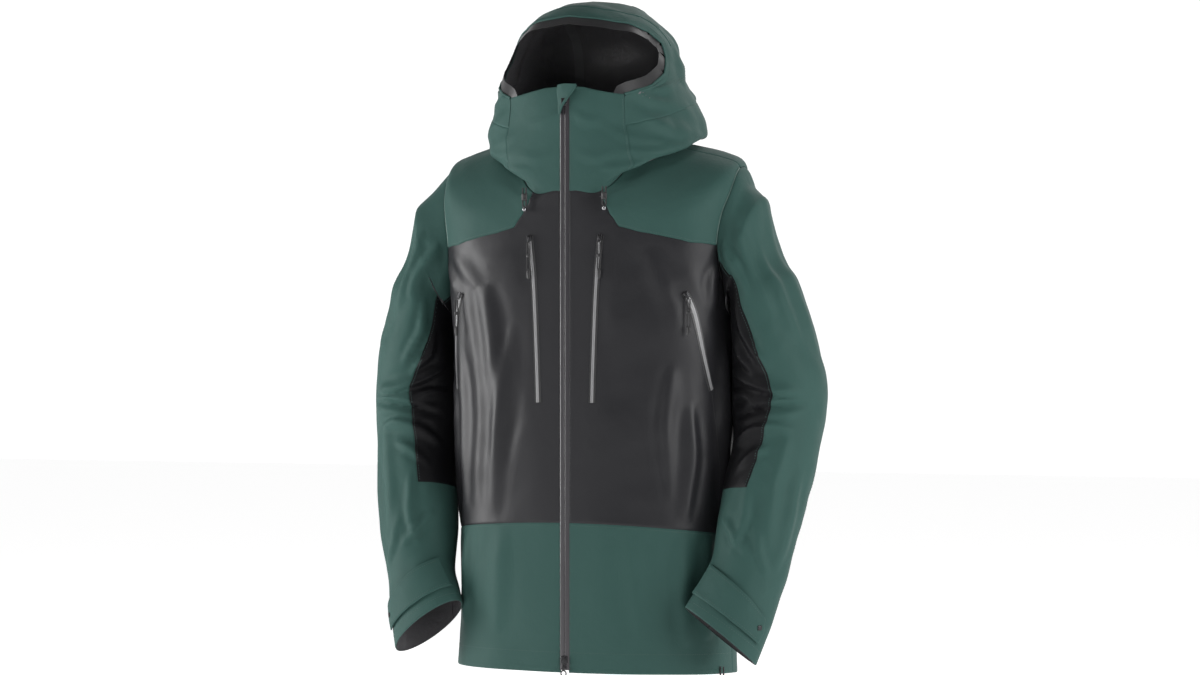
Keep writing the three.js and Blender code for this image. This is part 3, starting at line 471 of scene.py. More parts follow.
def settle(surfaces):
    """Lets the surfaces buckle as slightly oversized cloth, and adds what moved to their shifts."""
    jobs = [(surface, *sim_mesh(surface, held, SIM_COARSE)) for surface, held in surfaces]
    verts, faces, weights = [], [], []
    for _, points, held, quads in jobs:
        start = len(verts)
        verts += [tuple(p) for p in points.reshape(-1, 3)]
        weights += list(held.reshape(-1))
        faces += [tuple(start + k for k in quad) for quad in quads]
    mesh = bpy.data.meshes.new("settling")
    mesh.from_pydata(verts, [], faces)
    cloth = bpy.data.objects.new("settling", mesh)
    bpy.context.scene.collection.objects.link(cloth)
    group = cloth.vertex_groups.new(name="held")
    for level in sorted(set(weights)):
        group.add([k for k, w in enumerate(weights) if w == level], float(level), "REPLACE")
    modifier = cloth.modifiers.new("cloth", "CLOTH")
    settings = modifier.settings
    settings.vertex_group_mass = "held"
    for key, value in SIM_CLOTH.items():
        setattr(settings, key, value)
    settings.effector_weights.gravity = SIM_GRAVITY
    modifier.collision_settings.use_collision = False
    modifier.point_cache.frame_start = 1
    modifier.point_cache.frame_end = SIM_FRAMES
    scene = bpy.context.scene
    for k in range(1, SIM_FRAMES + 1):
        scene.frame_set(k)
    done = cloth.evaluated_get(bpy.context.evaluated_depsgraph_get()).data
    moved = np.empty(len(verts) * 3)
    done.vertices.foreach_get("co", moved)
    moved = moved.reshape(-1, 3) - np.array(verts)
    bpy.data.objects.remove(cloth)
    scene.frame_set(1)
    start = 0
    for surface, points, _, _ in jobs:
        rows, columns = points.shape[:2]
        part = moved[start:start + rows * columns].reshape(rows, columns, 3)
        start += rows * columns
        size = np.linalg.norm(part, axis=-1, keepdims=True)
        part = part * np.tanh(size / SIM_LIMIT) * SIM_LIMIT / np.maximum(size, 1e-9)
        ring = np.concatenate([part, part[:, :1]], 1)
        x = np.linspace(0, columns, surface.columns + 1)
        y = np.linspace(0, rows - 1, surface.rows[0] + 1)
        i, j = np.minimum(x.astype(int), columns - 1), np.minimum(y.astype(int), rows - 2)
        u, v = (x - i)[None, :, None], (y - j)[:, None, None]
        low = ring[j][:, i] * (1 - u) + ring[j][:, i + 1] * u
        high = ring[j + 1][:, i] * (1 - u) + ring[j + 1][:, i + 1] * u
        surface.shift += low * (1 - v) + high * v


def hood_edge(row):
    """Where the hood's front edge starts, as a share of the half turn from the centre front."""
    return np.interp(row, HOOD_EDGE[:, 0], HOOD_EDGE[:, 1])


# ---------- Materials ----------
def new_material(name):
    material = bpy.data.materials.new(name)
    material.use_nodes = True
    nodes = material.node_tree.nodes
    return material, nodes, material.node_tree.links, nodes["Principled BSDF"]


def add_node(nodes, kind, **values):
    node = nodes.new(kind)
    for key, value in values.items():
        if hasattr(node, key) and key not in node.inputs:
            setattr(node, key, value)
        else:
            node.inputs[key.replace("_", " ")].default_value = value
    return node


def fabric(name, colour, roughness, sheen=0.0, weave=0.12, crumple=0.25, grain=0.05, shine=0.2):
    """Woven face fabric: a fine weave in the cloth's own coordinates, soft crumpling and uneven dye."""
    material, nodes, links, shader = new_material(name)
    place = add_node(nodes, "ShaderNodeTexCoord")
    solid = add_node(nodes, "ShaderNodeTexNoise", Scale=9.0, Detail=4.0)
    links.new(place.outputs["Object"], solid.inputs["Vector"])
    fine = add_node(nodes, "ShaderNodeTexNoise", Scale=900.0, Detail=2.0)
    links.new(place.outputs["Object"], fine.inputs["Vector"])
    tone = add_node(nodes, "ShaderNodeMapRange", To_Min=1 - grain, To_Max=1 + grain)
    links.new(solid.outputs["Fac"], tone.inputs["Value"])
    speck = add_node(nodes, "ShaderNodeMapRange", To_Min=1 - 0.6 * grain, To_Max=1 + 0.6 * grain)
    links.new(fine.outputs["Fac"], speck.inputs["Value"])
    both = add_node(nodes, "ShaderNodeMath", operation="MULTIPLY")
    links.new(tone.outputs["Result"], both.inputs[0])
    links.new(speck.outputs["Result"], both.inputs[1])
    tint = add_node(nodes, "ShaderNodeVectorMath", operation="SCALE")
    tint.inputs[0].default_value = colour
    links.new(both.outputs["Value"], tint.inputs["Scale"])
    links.new(tint.outputs["Vector"], shader.inputs["Base Color"])
    shader.inputs["Roughness"].default_value = roughness
    shader.inputs["Sheen Weight"].default_value = sheen
    shader.inputs["Sheen Roughness"].default_value = 0.45
    shader.inputs["Specular IOR Level"].default_value = shine
    warp = add_node(nodes, "ShaderNodeTexWave", bands_direction="X", Scale=420.0, Distortion=0.4)
    weft = add_node(nodes, "ShaderNodeTexWave", bands_direction="Y", Scale=420.0, Distortion=0.4)
    links.new(place.outputs["UV"], warp.inputs["Vector"])
    links.new(place.outputs["UV"], weft.inputs["Vector"])
    cross = add_node(nodes, "ShaderNodeMath", operation="MAXIMUM")
    links.new(warp.outputs["Fac"], cross.inputs[0])
    links.new(weft.outputs["Fac"], cross.inputs[1])
    thread = add_node(nodes, "ShaderNodeBump", Strength=weave, Distance=0.0003)
    links.new(cross.outputs["Value"], thread.inputs["Height"])
    crush = add_node(nodes, "ShaderNodeTexNoise", Scale=38.0, Detail=5.0, Roughness=0.55)
    links.new(place.outputs["Object"], crush.inputs["Vector"])
    soft = add_node(nodes, "ShaderNodeBump", Strength=crumple, Distance=0.004)
    links.new(crush.outputs["Fac"], soft.inputs["Height"])
    links.new(thread.outputs["Normal"], soft.inputs["Normal"])
    links.new(soft.outputs["Normal"], shader.inputs["Normal"])
    return material


def plain(name, colour, roughness, metallic=0.0, bump=0.0, scale=600.0):
    """A moulded, lacquered or laminated surface with a little unevenness."""
    material, nodes, links, shader = new_material(name)
    shader.inputs["Base Color"].default_value = (*colour, 1)
    shader.inputs["Metallic"].default_value = metallic
    place = add_node(nodes, "ShaderNodeTexCoord")
    noise = add_node(nodes, "ShaderNodeTexNoise", Scale=scale, Detail=3.0)
    links.new(place.outputs["Object"], noise.inputs["Vector"])
    rough = add_node(nodes, "ShaderNodeMapRange", To_Min=roughness * 0.85, To_Max=roughness * 1.15)
    links.new(noise.outputs["Fac"], rough.inputs["Value"])
    links.new(rough.outputs["Result"], shader.inputs["Roughness"])
    if bump:
        relief = add_node(nodes, "ShaderNodeBump", Strength=bump, Distance=0.0004)
        links.new(noise.outputs["Fac"], relief.inputs["Height"])
        links.new(relief.outputs["Normal"], shader.inputs["Normal"])
    return material


GREEN = fabric("green_face", (0.029, 0.068, 0.060), roughness=0.6, sheen=0.02, shine=0.1)
# A lighter green: painted highlight along the lit edge of the armhole lap.
HIGHLIGHT_GREEN = plain("green_edge", (0.075, 0.135, 0.12), 0.5, bump=0.2)
BLACK = fabric("black_face", (0.0145, 0.0145, 0.0165), roughness=0.4, crumple=0.1, shine=0.22)
# A darker, duller copy of the black face fabric: painted shade for the under-sleeves, which sit in shadow
# between the arms and the torso.
SHADED_BLACK = fabric("black_stretch", (0.006, 0.006, 0.007), roughness=0.5, crumple=0.1, shine=0.12)
LINING = fabric("grey_backing", (0.085, 0.083, 0.088), roughness=0.36, weave=0.2, crumple=0.5, shine=0.4)
MESH = fabric("pocket_mesh", (0.035, 0.035, 0.037), roughness=0.7, sheen=0.12, weave=0.6)
TAPE = plain("seam_tape", (0.014, 0.014, 0.015), 0.4, bump=0.1)
INNER_TAPE = plain("inner_tape", (0.10, 0.10, 0.105), 0.4, bump=0.1)
ZIP = plain("zip_laminate", (0.032, 0.030, 0.034), 0.2, bump=0.05)
POCKET_ZIP = plain("pocket_zip_laminate", (0.20, 0.20, 0.205), 0.25, bump=0.05)
METAL = plain("black_lacquer", (0.03, 0.03, 0.032), 0.28, 0.85)
STEEL = plain("bright_ring", (0.24, 0.24, 0.25), 0.25, 0.95)
CORD = plain("braided_cord", (0.012, 0.012, 0.013), 0.75, bump=0.8, scale=1600.0)
MOULDED = plain("moulded_grip", (0.012, 0.012, 0.013), 0.45, bump=0.15)
THREAD = {
    "green": plain("green_thread", (0.030, 0.066, 0.058), 0.6),
    "black": plain("black_thread", (0.02, 0.02, 0.022), 0.55),
}


def name_slots():
    """Goes over the pieces that have a material, and does nothing with them."""
    for piece in bpy.data.objects:
        materials = piece.data.materials if piece.type in ("MESH", "CURVE") else []
        if not materials or not materials[0]:
            continue


# ---------- Cloth panels ----------
THICK = 0.9 * MM
NEAR_SEAM = [0, 0.7 * MM, 1.6 * MM, 2.8 * MM, 4.5 * MM]
TURN_WIDTH, TURN_DEPTH = 3 * MM, 0.8 * MM  # how the cloth turns down at a sewn edge
MERGE = 0.02 * MM
STEP = 4.0 * MM
SHARP = math.radians(50)


def line(*points):
    """A polyline in surface coordinates, with its corners spread evenly over 0 to 1."""
    table = np.array(points, float)

    def at(t):
        x = np.asarray(t, float) * (len(table) - 1)
        return np.stack([np.interp(x, np.arange(len(table)), table[:, k]) for k in (0, 1)])
    return at


def patch(bottom, top, first, second):
    """A four-sided area in surface coordinates. bottom and top run from the first side to the second."""
    def at(s, t):
        corner = bottom(0), bottom(1), top(0), top(1)
        c = [np.asarray(p).reshape(2, *[1] * np.ndim(s)) for p in corner]
        across = bottom(s) * (1 - t) + top(s) * t + first(t) * (1 - s) + second(t) * s
        return across - ((c[0] * (1 - s) + c[1] * s) * (1 - t) + (c[2] * (1 - s) + c[3] * s) * t)
    return at


def oblong(first, last, low, high):
    """A patch between two turns and two rows."""
    return patch(line((first, low), (last, low)), line((first, high), (last, high)),
                 line((first, low), (first, high)), line((last, low), (last, high)))


def mirrored(area, side):
    def at(s, t):
        a, b = area(s, t)
        return np.stack([a * side, b])
    return at


def length_of(surface, area, s, t):
    points = surface(*area(s, t))
    return np.linalg.norm(np.diff(points, axis=0), axis=1).sum()


def spaced(length, seam_low, seam_high, step=STEP):
    """Shares from 0 to 1 in even steps, with close ones beside each seam."""
    count = max(round(length / step), 3)
    shares = list(np.linspace(0, 1, count + 1))
    near = [d / length for d in NEAR_SEAM]
    if seam_low:
        shares = near + [x for x in shares if x > near[-1] * 1.3]
    if seam_high:
        shares = [x for x in shares if x < 1 - near[-1] * 1.3] + [1 - x for x in reversed(near)]
    return np.array(shares)


def grid_of(surface, area, seams, lift=0.0, step=STEP):
    """Outer points, normals and flat coordinates of a patch. seams says which of its sides (low s, high s,
    low t, high t) are sewn, where the cloth turns down a little."""
    middle, fine = np.full(40, 0.5), np.linspace(0, 1, 40)
    width = max(length_of(surface, area, fine, middle), length_of(surface, area, fine, middle * 1.6))
    height = length_of(surface, area, middle, fine)
    s, t = np.meshgrid(spaced(width, seams[0], seams[1], step), spaced(height, seams[2], seams[3], step))
    a, b = area(s, t)
    points = surface(a, b)
    normal = surface.normal(a, b)
    across = np.linalg.norm(np.diff(points, axis=1), axis=-1)
    up = np.linalg.norm(np.diff(points, axis=0), axis=-1)
    x = np.concatenate([np.zeros((len(s), 1)), np.cumsum(across, 1)], 1)
    y = np.concatenate([np.zeros((1, s.shape[1])), np.cumsum(up, 0)], 0)
    gaps = [x, x[:, -1:] - x, y, y[-1:] - y]
    turned = np.zeros(s.shape)
    for gap, sewn in zip(gaps, seams):
        if sewn:
            turned = np.maximum(turned, np.clip(1 - gap / TURN_WIDTH, 0, 1) ** 2)
    points = points + normal * (lift - TURN_DEPTH * turned)[..., None]
    return points, normal, np.stack([x, y], -1)


def smoothed(mesh, sharp):
    mesh.shade_smooth()
    mesh.set_sharp_from_angle(angle=sharp)


def from_shape(shape, mesh, material, sharp=SHARP):
    """Links an object that has a mesh's name and the shape that was made for it."""
    shape.to_mesh(mesh)
    shape.free()
    mesh.materials.append(material)
    smoothed(mesh, sharp)
    piece = bpy.data.objects.new(mesh.name, mesh)
    bpy.context.scene.collection.objects.link(piece)
    return piece


def cloth_object(name, grids, outer, inner, thick=THICK):
    """One mesh from several grids that share edges: an outer face, an inner face, and rims between them."""
    verts, faces, looks, flats = [], [], [], []
    for points, normal, flat, rims in grids:
        rows, columns = points.shape[:2]
        start = len(verts)
        verts += list(points.reshape(-1, 3)) + list((points - normal * thick).reshape(-1, 3))
        flats += list(flat.reshape(-1, 2)) * 2
        under = rows * columns
        spot = lambda j, i: start + j * columns + i
        j, i = rows // 2, columns // 2
        d1 = points[j, min(i + 1, columns - 1)] - points[j, i]
        d2 = points[min(j + 1, rows - 1), i] - points[j, i]
        outward = np.dot(np.cross(d1, d2), normal[j, i]) > 0

        def quad(p, look):
            faces.append(tuple(p) if outward else tuple(reversed(p)))
            looks.append(look)
        for j in range(rows - 1):
            for i in range(columns - 1):
                p = [spot(j, i), spot(j, i + 1), spot(j + 1, i + 1), spot(j + 1, i)]
                quad(p, 0)
                quad([under + k for k in reversed(p)], 1)
        limit = [round(share * (rows - 1)) + 1 for share in rims[:2]]
        borders = [
            [spot(j, 0) for j in reversed(range(limit[0]))],
            [spot(j, columns - 1) for j in range(limit[1])],
            [spot(0, i) for i in range(columns)],
            [spot(rows - 1, i) for i in reversed(range(columns))],
        ]
        for border, rim in zip(borders, rims):
            if rim:
                for p, q in zip(border, border[1:]):
                    quad([q, p, under + p, under + q], 0)
    mesh = bpy.data.meshes.new(name)
    mesh.from_pydata([tuple(v) for v in verts], [], faces)
    layer = mesh.uv_layers.new(name="flat")
    corners = np.empty(len(mesh.loops), int)
    mesh.loops.foreach_get("vertex_index", corners)
    layer.data.foreach_set("uv", np.array(flats)[corners].reshape(-1))
    mesh.materials.append(outer)
    mesh.materials.append(inner)
    mesh.polygons.foreach_set("material_index", looks)
    piece = bpy.data.objects.new(name, mesh)
    bpy.context.scene.collection.objects.link(piece)
    merge(mesh)
    smoothed(mesh, SHARP)
    piece["flat_size"] = [float(max(g[2][..., k].max() for g in grids)) for k in (0, 1)]
    return piece


def merge(mesh):
    shape = bmesh.new()
    shape.from_mesh(mesh)
    bmesh.ops.remove_doubles(shape, verts=shape.verts, dist=MERGE)
    shape.to_mesh(mesh)
    shape.free()


def follow(piece, part):
    """Attaches a piece to the torso's body when its part is the torso; for the hood, shoulder and arm it
    only bakes the piece's transform into its mesh.
    """
    if part == "torso":
        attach(piece, "torso")
    elif part == "hood":
        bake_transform(piece)
    elif part == "shoulder":
        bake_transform(piece)
    elif part == "arm":
        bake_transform(piece)


def panel(name, surface, area, seams, outer, inner=None, lift=0.0, rims=None, step=STEP, thick=THICK):
    points, normal, flat = grid_of(surface, area, seams, lift, step)
    rims = (True,) * 4 if rims is None else rims
    return cloth_object(name, [(points, normal, flat, rims)], outer, inner or LINING, thick)


# ---------- Torso ----------
PLACKET = 6.2  # half width of the gap that the main zip fills
SIDE_SEAM = 0.5
YOKE_START = np.array(armhole(0.545))
YOKE_SEAM = [(0.257, 4.56), (0.206, 4.91), (0.151, 5.36), (0.11, 5.87)]  # to its corner below the collar
COLLAR_CORNER = np.array([0.185, NECK])
# From the yoke's corner to the collar's, straight as seen from the front.
COLLAR_SIDE = [(0.11, 5.87), (0.102, 6.9), (0.1125, 7.9), (0.138, 8.9), COLLAR_CORNER]
BACK_YOKE_TURN = -0.56
# Rows along the zip that face each share of the chest panel's outer edge, so that its columns miss the yoke.
ZIP_SHARES = [0, 0.46, 0.66, 0.715, 0.77, 0.825, 0.88, 1]
ZIP_ROWS = [HEM_SEAM, 3.4, 5.0, 5.6, 6.1, 6.7, 7.3, NECK]
ALL_SEWN = (True, True, True, True)


def zip_edge(table, row):
    return np.arcsin(PLACKET / rings_at(table, np.asarray(row, float))[..., 5]) / np.pi


def along_armhole(start, end):
    return lambda t: np.stack(armhole(start + (end - start) * np.asarray(t, float)))


def chain(*parts):
    """Joins (share, curve) parts into one curve over 0 to 1, where share is the part's end."""
    def at(t):
        t = np.asarray(t, float)
        out = None
        low = 0.0
        for high, curve in parts:
            here = curve(np.clip((t - low) / (high - low), 0, 1))
            out = here if out is None else np.where(t >= low, here, out)
            low = high
        return out
    return at


def yoke_seam(t):
    """The front yoke's lower edge, from the armhole to its corner."""
    return line(YOKE_START, *YOKE_SEAM)(t)


def chest_area():
    outer = chain(
        (0.46, line((SIDE_SEAM, HEM_SEAM), (SIDE_SEAM, ARMPIT))),
        (0.66, along_armhole(1, 0.545)),
        (0.88, yoke_seam),
        (1.0, line(*COLLAR_SIDE)),
    )

    def inner(t):
        row = np.interp(t, ZIP_SHARES, ZIP_ROWS)
        return np.stack([zip_edge(TORSO, row), row])
    return patch(line(inner(0), outer(0)), line(inner(1), outer(1)), inner, outer)


def yoke_area():
    bottom = chain((0.75, yoke_seam), (1.0, line(*COLLAR_SIDE)))
    top = line(armhole(0), (SIDE_SEAM, NECK))
    return patch(bottom, top, along_armhole(0.545, 0), line(COLLAR_CORNER, (SIDE_SEAM, NECK)))


def back_edge(t):
    t = np.asarray(t, float)
    on_arm = np.stack(armhole(BACK_YOKE_TURN * (1 - 2 * t)))
    on_top = np.stack([np.full_like(t, SIDE_SEAM), SHOULDER + (NECK - SHOULDER) * (2 * t - 1)])
    return np.where(t < 0.5, on_arm, on_top)


def across_back(edge):
    return lambda t: np.stack([2 - edge(t)[0], edge(t)[1]])


def build_torso():
    """Front chest, yoke and hem panels on each side, and the yoke, panel and hem of the back."""
    made = {}
    for name, side in SIDES.items():
        made[f"front_chest_{name}"] = panel(
            f"chest_cloth_{name}", torso, mirrored(chest_area(), side), ALL_SEWN, BLACK)
        made[f"front_yoke_{name}"] = panel(
            f"yoke_cloth_{name}", torso, mirrored(yoke_area(), side), ALL_SEWN, GREEN)

        def inner(t):
            row = HEM_SEAM * np.asarray(t, float)
            return np.stack([zip_edge(TORSO, row), row])
        hem = patch(line(inner(0), (SIDE_SEAM, 0)), line(inner(1), (SIDE_SEAM, HEM_SEAM)), inner,
                    line((SIDE_SEAM, 0), (SIDE_SEAM, HEM_SEAM)))
        made[f"front_hem_{name}"] = panel(
            f"hem_cloth_{name}", torso, mirrored(hem, side), ALL_SEWN, GREEN)
    start = armhole(BACK_YOKE_TURN)
    yoke = patch(line(start, (2 - start[0], start[1])), line((SIDE_SEAM, NECK), (2 - SIDE_SEAM, NECK)),
                 back_edge, across_back(back_edge))
    made["back_yoke"] = panel("back_yoke_cloth", torso, yoke, ALL_SEWN, GREEN)
    edge = chain(
        (0.6, line((SIDE_SEAM, HEM_SEAM), (SIDE_SEAM, ARMPIT))),
        (1.0, along_armhole(-1, BACK_YOKE_TURN)),
    )
    back = patch(line(edge(0), (2 - SIDE_SEAM, HEM_SEAM)), line(edge(1), (2 - edge(1)[0], edge(1)[1])),
                 edge, across_back(edge))
    made["back_panel"] = panel("back_cloth", torso, back, ALL_SEWN, BLACK)
    hem = oblong(SIDE_SEAM, 2 - SIDE_SEAM, 0, HEM_SEAM)
    made["back_hem"] = panel("back_hem_cloth", torso, hem, ALL_SEWN, GREEN)
    for node, piece in made.items():
        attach(piece, "torso")
        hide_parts(node)


# ---------- Sleeves ----------
FRONT_SEAMS = {
    "right": np.array([[0, 0.8], [1.5, 0.74], [2.5, 0.68], [4, 0.55], [5, 0.6], [UNDER_END, 0.62]]),
    "left": np.array([[0, 0.62], [1.5, 0.58], [2.5, 0.55], [4, 0.45], [5, 0.52], [UNDER_END, 0.56]]),
}
BACK_SEAM = 1.32


def front_seam(name):
    """The turn of a sleeve's front seam at each row."""
    return lambda row: np.interp(row, FRONT_SEAMS[name][:, 0], FRONT_SEAMS[name][:, 1])


def sleeve_area(seam_a, seam_b, row_a, row_b):
    """A sleeve patch between two lengthwise seams (turn for a row) and two rings."""
    def at(s, t):
        row = row_a + (row_b - row_a) * t
        return np.stack([seam_a(row) * (1 - s) + seam_b(row) * s, row])
    return at


def build_sleeve(name):
    """A shoulder piece and an arm piece in each colour, and the wrist."""
    surface, side = sleeves[name], SIDES[name]
    front = front_seam(name)
    back, back_before = (lambda row: 0 * row + BACK_SEAM), (lambda row: 0 * row + BACK_SEAM - 2)

    def grid(seam_a, seam_b, row_a, row_b, seams, rims):
        area = mirrored(sleeve_area(seam_a, seam_b, row_a, row_b), side)
        return (*grid_of(surface, area, seams), rims)
    sewn, cut, low = (True, True, True, False), (True, True, False, False), (True, True, False, True)
    shoulder = cloth_object(f"shoulder_cloth_{name}", [
        grid(back_before, front, 0, JOIN_ROW, sewn, ALL_SEWN)], GREEN, LINING)
    # The under-sleeve panels take the darker copy of the black fabric, as painted shade.
    under = cloth_object(f"shoulder_under_{name}", [
        grid(front, back, 0, JOIN_ROW, sewn, ALL_SEWN)], SHADED_BLACK, LINING)
    dark = cloth_object(f"elbow_under_{name}", [
        grid(front, back, JOIN_ROW, UNDER_END, low, ALL_SEWN)], SHADED_BLACK, LINING)
    green = cloth_object(f"arm_cloth_{name}", [
        grid(back_before, front, JOIN_ROW, UNDER_END, cut, ALL_SEWN)], GREEN, LINING)
    whole = oblong(BACK_SEAM - 2, BACK_SEAM, UNDER_END, CUFF_END)
    wrist = cloth_object(f"wrist_cloth_{name}", [
        (*grid_of(surface, mirrored(whole, side), low), ALL_SEWN)],
        GREEN, LINING)
    for piece in (shoulder, under):
        follow(piece, "shoulder")
    for piece in (dark, green, wrist):
        follow(piece, "arm")
    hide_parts(f"sleeve_upper_{name}")
    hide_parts(f"sleeve_under_{name}")
    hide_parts(f"forearm_{name}")
    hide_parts(f"forearm_under_{name}")


# ---------- Hood ----------
def build_hood():
    """Chin guards beside the zip, and the hood behind them in one sweep above a base."""
    for name, side in SIDES.items():
        def zip_side(t):
            row = 4.42 * np.asarray(t, float)
            return np.stack([zip_edge(HOOD, row), row])

        def seam(t):
            row = 4.0 * np.asarray(t, float)
            return np.stack([hood_edge(row), row])
        top = line(zip_side(1), (0.07, 4.38), (0.14, 4.2), (0.22, 4.0))
        chin = patch(line(zip_side(0), seam(0)), top, zip_side, seam)
        piece = panel(f"chin_cloth_{name}", hood, mirrored(chin, side), ALL_SEWN, GREEN)
        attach(piece, "torso")
        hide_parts(f"chin_guard_{name}")

    def whole(row_a, row_b):
        def at(s, t):
            row = row_a + (row_b - row_a) * t
            start = hood_edge(row)
            return np.stack([start + (2 - 2 * start) * s, row])
        return at
    base = panel("hood_base_cloth", hood, whole(0, 3), ALL_SEWN, GREEN)
    edged = (BROW - 3) / (CROWN - 3)
    body = panel("hood_cloth", hood, whole(3, CROWN - 0.004), (False, False, True, False), GREEN,
                 rims=(edged, edged, True, False))
    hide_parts("hood_base")
    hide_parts("hood_side_right", "hood_side_left", "hood_centre", "hood_brim")
    for piece in (base, body):
        follow(piece, "hood")


# ---------- Strips, stitches and solid shapes ----------
def finished(name, verts, faces, material, sharp=SHARP):
    """A linked object with its faces pointing out."""
    mesh = bpy.data.meshes.new(name)
    mesh.from_pydata([tuple(v) for v in verts], [], faces)
    shape = bmesh.new()
    shape.from_mesh(mesh)
    bmesh.ops.recalc_face_normals(shape, faces=shape.faces)
    return from_shape(shape, mesh, material, sharp)


def sweep(name, points, across, normals, profile, material, scale=None, closed=False):
    """A profile of (across, out) millimetres, swept along a path with its own frame at each point."""
    count, sides = len(points), len(profile)
    shape = np.array(profile, float) * MM
    scale = np.ones((count, 2)) if scale is None else np.array(scale, float)
    wide = across[:, None] * shape[None, :, :1] * scale[:, None, :1]
    high = normals[:, None] * shape[None, :, 1:] * scale[:, None, 1:]
    verts = (points[:, None] + wide + high).reshape(-1, 3)
    faces = []
    for k in range(count if closed else count - 1):
        low, high = k * sides, (k + 1) % count * sides
        for i in range(sides):
            j = (i + 1) % sides
            faces.append((low + i, low + j, high + j, high + i))
    if not closed:
        faces.append(tuple(range(sides)))
        faces.append(tuple((count - 1) * sides + i for i in range(sides)))
    return finished(name, verts, faces, material)


def path_on(surface, path, step=3.0, lift=0.0, shift=0.0):
    """Points, side directions and normals along a path on a surface, lifted and shifted sideways."""
    rough = surface(*path(np.linspace(0, 1, 60)))
    count = max(int(np.linalg.norm(np.diff(rough, axis=0), axis=1).sum() / (step * MM)), 4)
    a, b = path(np.linspace(0, 1, count + 1))
    h = 2e-3
    for _ in range(2 if shift else 0):
        along = np.gradient(surface(a, b), axis=0)
        normal = surface.normal(a, b)
        side = np.cross(along, normal)
        side /= np.linalg.norm(side, axis=1, keepdims=True)
        around = (surface(a + h, b) - surface(a - h, b)) / (2 * h)
        up = (surface(a, b + h) - surface(a, b - h)) / (2 * h)
        move = side * shift * MM / 2
        aa, ab, bb = (around * around).sum(1), (around * up).sum(1), (up * up).sum(1)
        ma, mb = (around * move).sum(1), (up * move).sum(1)
        det = aa * bb - ab * ab
        a = a + (ma * bb - mb * ab) / det
        b = b + (mb * aa - ma * ab) / det
    points, normal = surface(a, b), surface.normal(a, b)
    along = np.gradient(points, axis=0)
    across = np.cross(along, normal)
    across /= np.linalg.norm(across, axis=1, keepdims=True)
    return points + normal * lift * MM, across, normal


def seam_strip(name, surface, path, material, width=7.0, height=0.55, shift=0.0):
    """The lap of a sewn seam: a low strip with one soft edge."""
    profile = [(-width / 2, -0.5), (width / 2, -0.5), (width / 2, 0), (width / 2 - 1, height),
               (-width / 2 + 2, height), (-width / 2, 0)]
    return sweep(name, *path_on(surface, path, 3.0, 0.0, shift), profile, material)


def stitches(name, surface, path, material, shift=0.0, pitch=3.4, length=2.3, lift=0.1):
    """A row of stitches as short rounded bars."""
    points, across, normal = path_on(surface, path, pitch, lift, shift)
    along = np.cross(normal, across)
    half = length / 2 * MM
    wide, high = 0.32 * MM, 0.3 * MM
    verts, faces = [], []
    for p, x, n, d in zip(points[1:-1], across[1:-1], normal[1:-1], along[1:-1]):
        k = len(verts)
        verts += [p - d * half, p + d * half]
        for reach in (-0.55, 0.55):
            middle = p + d * half * reach
            verts += [middle + x * wide, middle + n * high, middle - x * wide, middle - n * high]
        ring = [k + 2, k + 3, k + 4, k + 5]
        far = [k + 6, k + 7, k + 8, k + 9]
        for i in range(4):
            j = (i + 1) % 4
            faces += [(k, ring[j], ring[i]), (ring[i], ring[j], far[j], far[i]), (k + 1, far[i], far[j])]
    return finished(name, verts, faces, material, math.radians(80))


def round_edges(shape, bevel):
    edges = shape.edges[:]
    bmesh.ops.bevel(shape, geom=edges, offset=bevel * MM, segments=3, profile=0.5, affect="EDGES")


def blocks(name, boxes, material, bevel=0.5):
    """One piece made of rounded boxes, each given as its low and high corner in millimetres."""
    shape = bmesh.new()
    for low, high in boxes:
        made = bmesh.ops.create_cube(shape, size=1)
        for v in made["verts"]:
            v.co = Vector([(l + h) / 2 + (h - l) * c for l, h, c in zip(low, high, v.co)]) * MM
    round_edges(shape, bevel)
    return from_shape(shape, bpy.data.meshes.new(name), material)


def round_profile(wide, high, sides=12, power=2.0):
    angles = np.arange(sides) * 2 * np.pi / sides
    c, s = np.cos(angles), np.sin(angles)
    bent = [np.sign(v) * np.abs(v) ** (2 / power) for v in (c, s)]
    return list(zip(wide * bent[0], high * bent[1]))


def ring(name, centre, radius, wire, material):
    """A round ring that faces the front, in millimetres."""
    turns = np.arange(36) * 2 * np.pi / 36
    out = np.stack([np.cos(turns), 0 * turns, np.sin(turns)], -1)
    points = (np.array(centre) + out * radius) * MM
    front = np.tile([0.0, -1.0, 0.0], (36, 1))
    return sweep(name, points, out, front, round_profile(wire, wire), material, closed=True)


def flat_profile(half, top, low):
    """A thin oblong profile, from half its width and its two faces."""
    return [(-half, top), (half, top), (half, low), (-half, low)]


def placed(piece, matrix):
    """Moves a mesh made at the origin by a 4 x 4 matrix."""
    piece.data.transform(matrix)
    return piece


# ---------- Zips ----------
FRONT = FRONT_Y - LOOP_Y
MAIN_ZIP = {"bottom": -765, "top": 76}
SLIDER = {"half": 4.6, "tall": 11, "neck": 0.9, "far": 3.7, "near": 1.5, "bottom_z": -750, "top_z": 62}
POCKETS = {
    "chest": {"top": (0.0754, 5.5), "bottom": (0.064, 2.1), "bow": 0.0, "bag": (0.03, 0.28, 2.1, 4.6),
              "depth": 4, "gap": 0.6, "welt": 5.0, "teeth": 2.1},
    "hand": {"top": (0.252, 3.42), "bottom": (0.36, 2.22), "bow": 0.02, "bag": (0.16, 0.42, 1.2, 3.2),
             "depth": 8, "gap": 2, "welt": 5.6, "teeth": 2.6},
}
ZIP_PROFILE = [(0.3, -1.2), (0.3, 0.3), (0.6, 0.5), (1.2, 0.62), (2.2, 0.58), (3.0, 0.46), (5.6, 0.35),
               (7.2, -0.35), (7.2, -1.2)]
TAPE_LIFT = 1.9
PULL = {"drop": 40, "spread": 2.2, "cord": 1.8, "grip": 12}


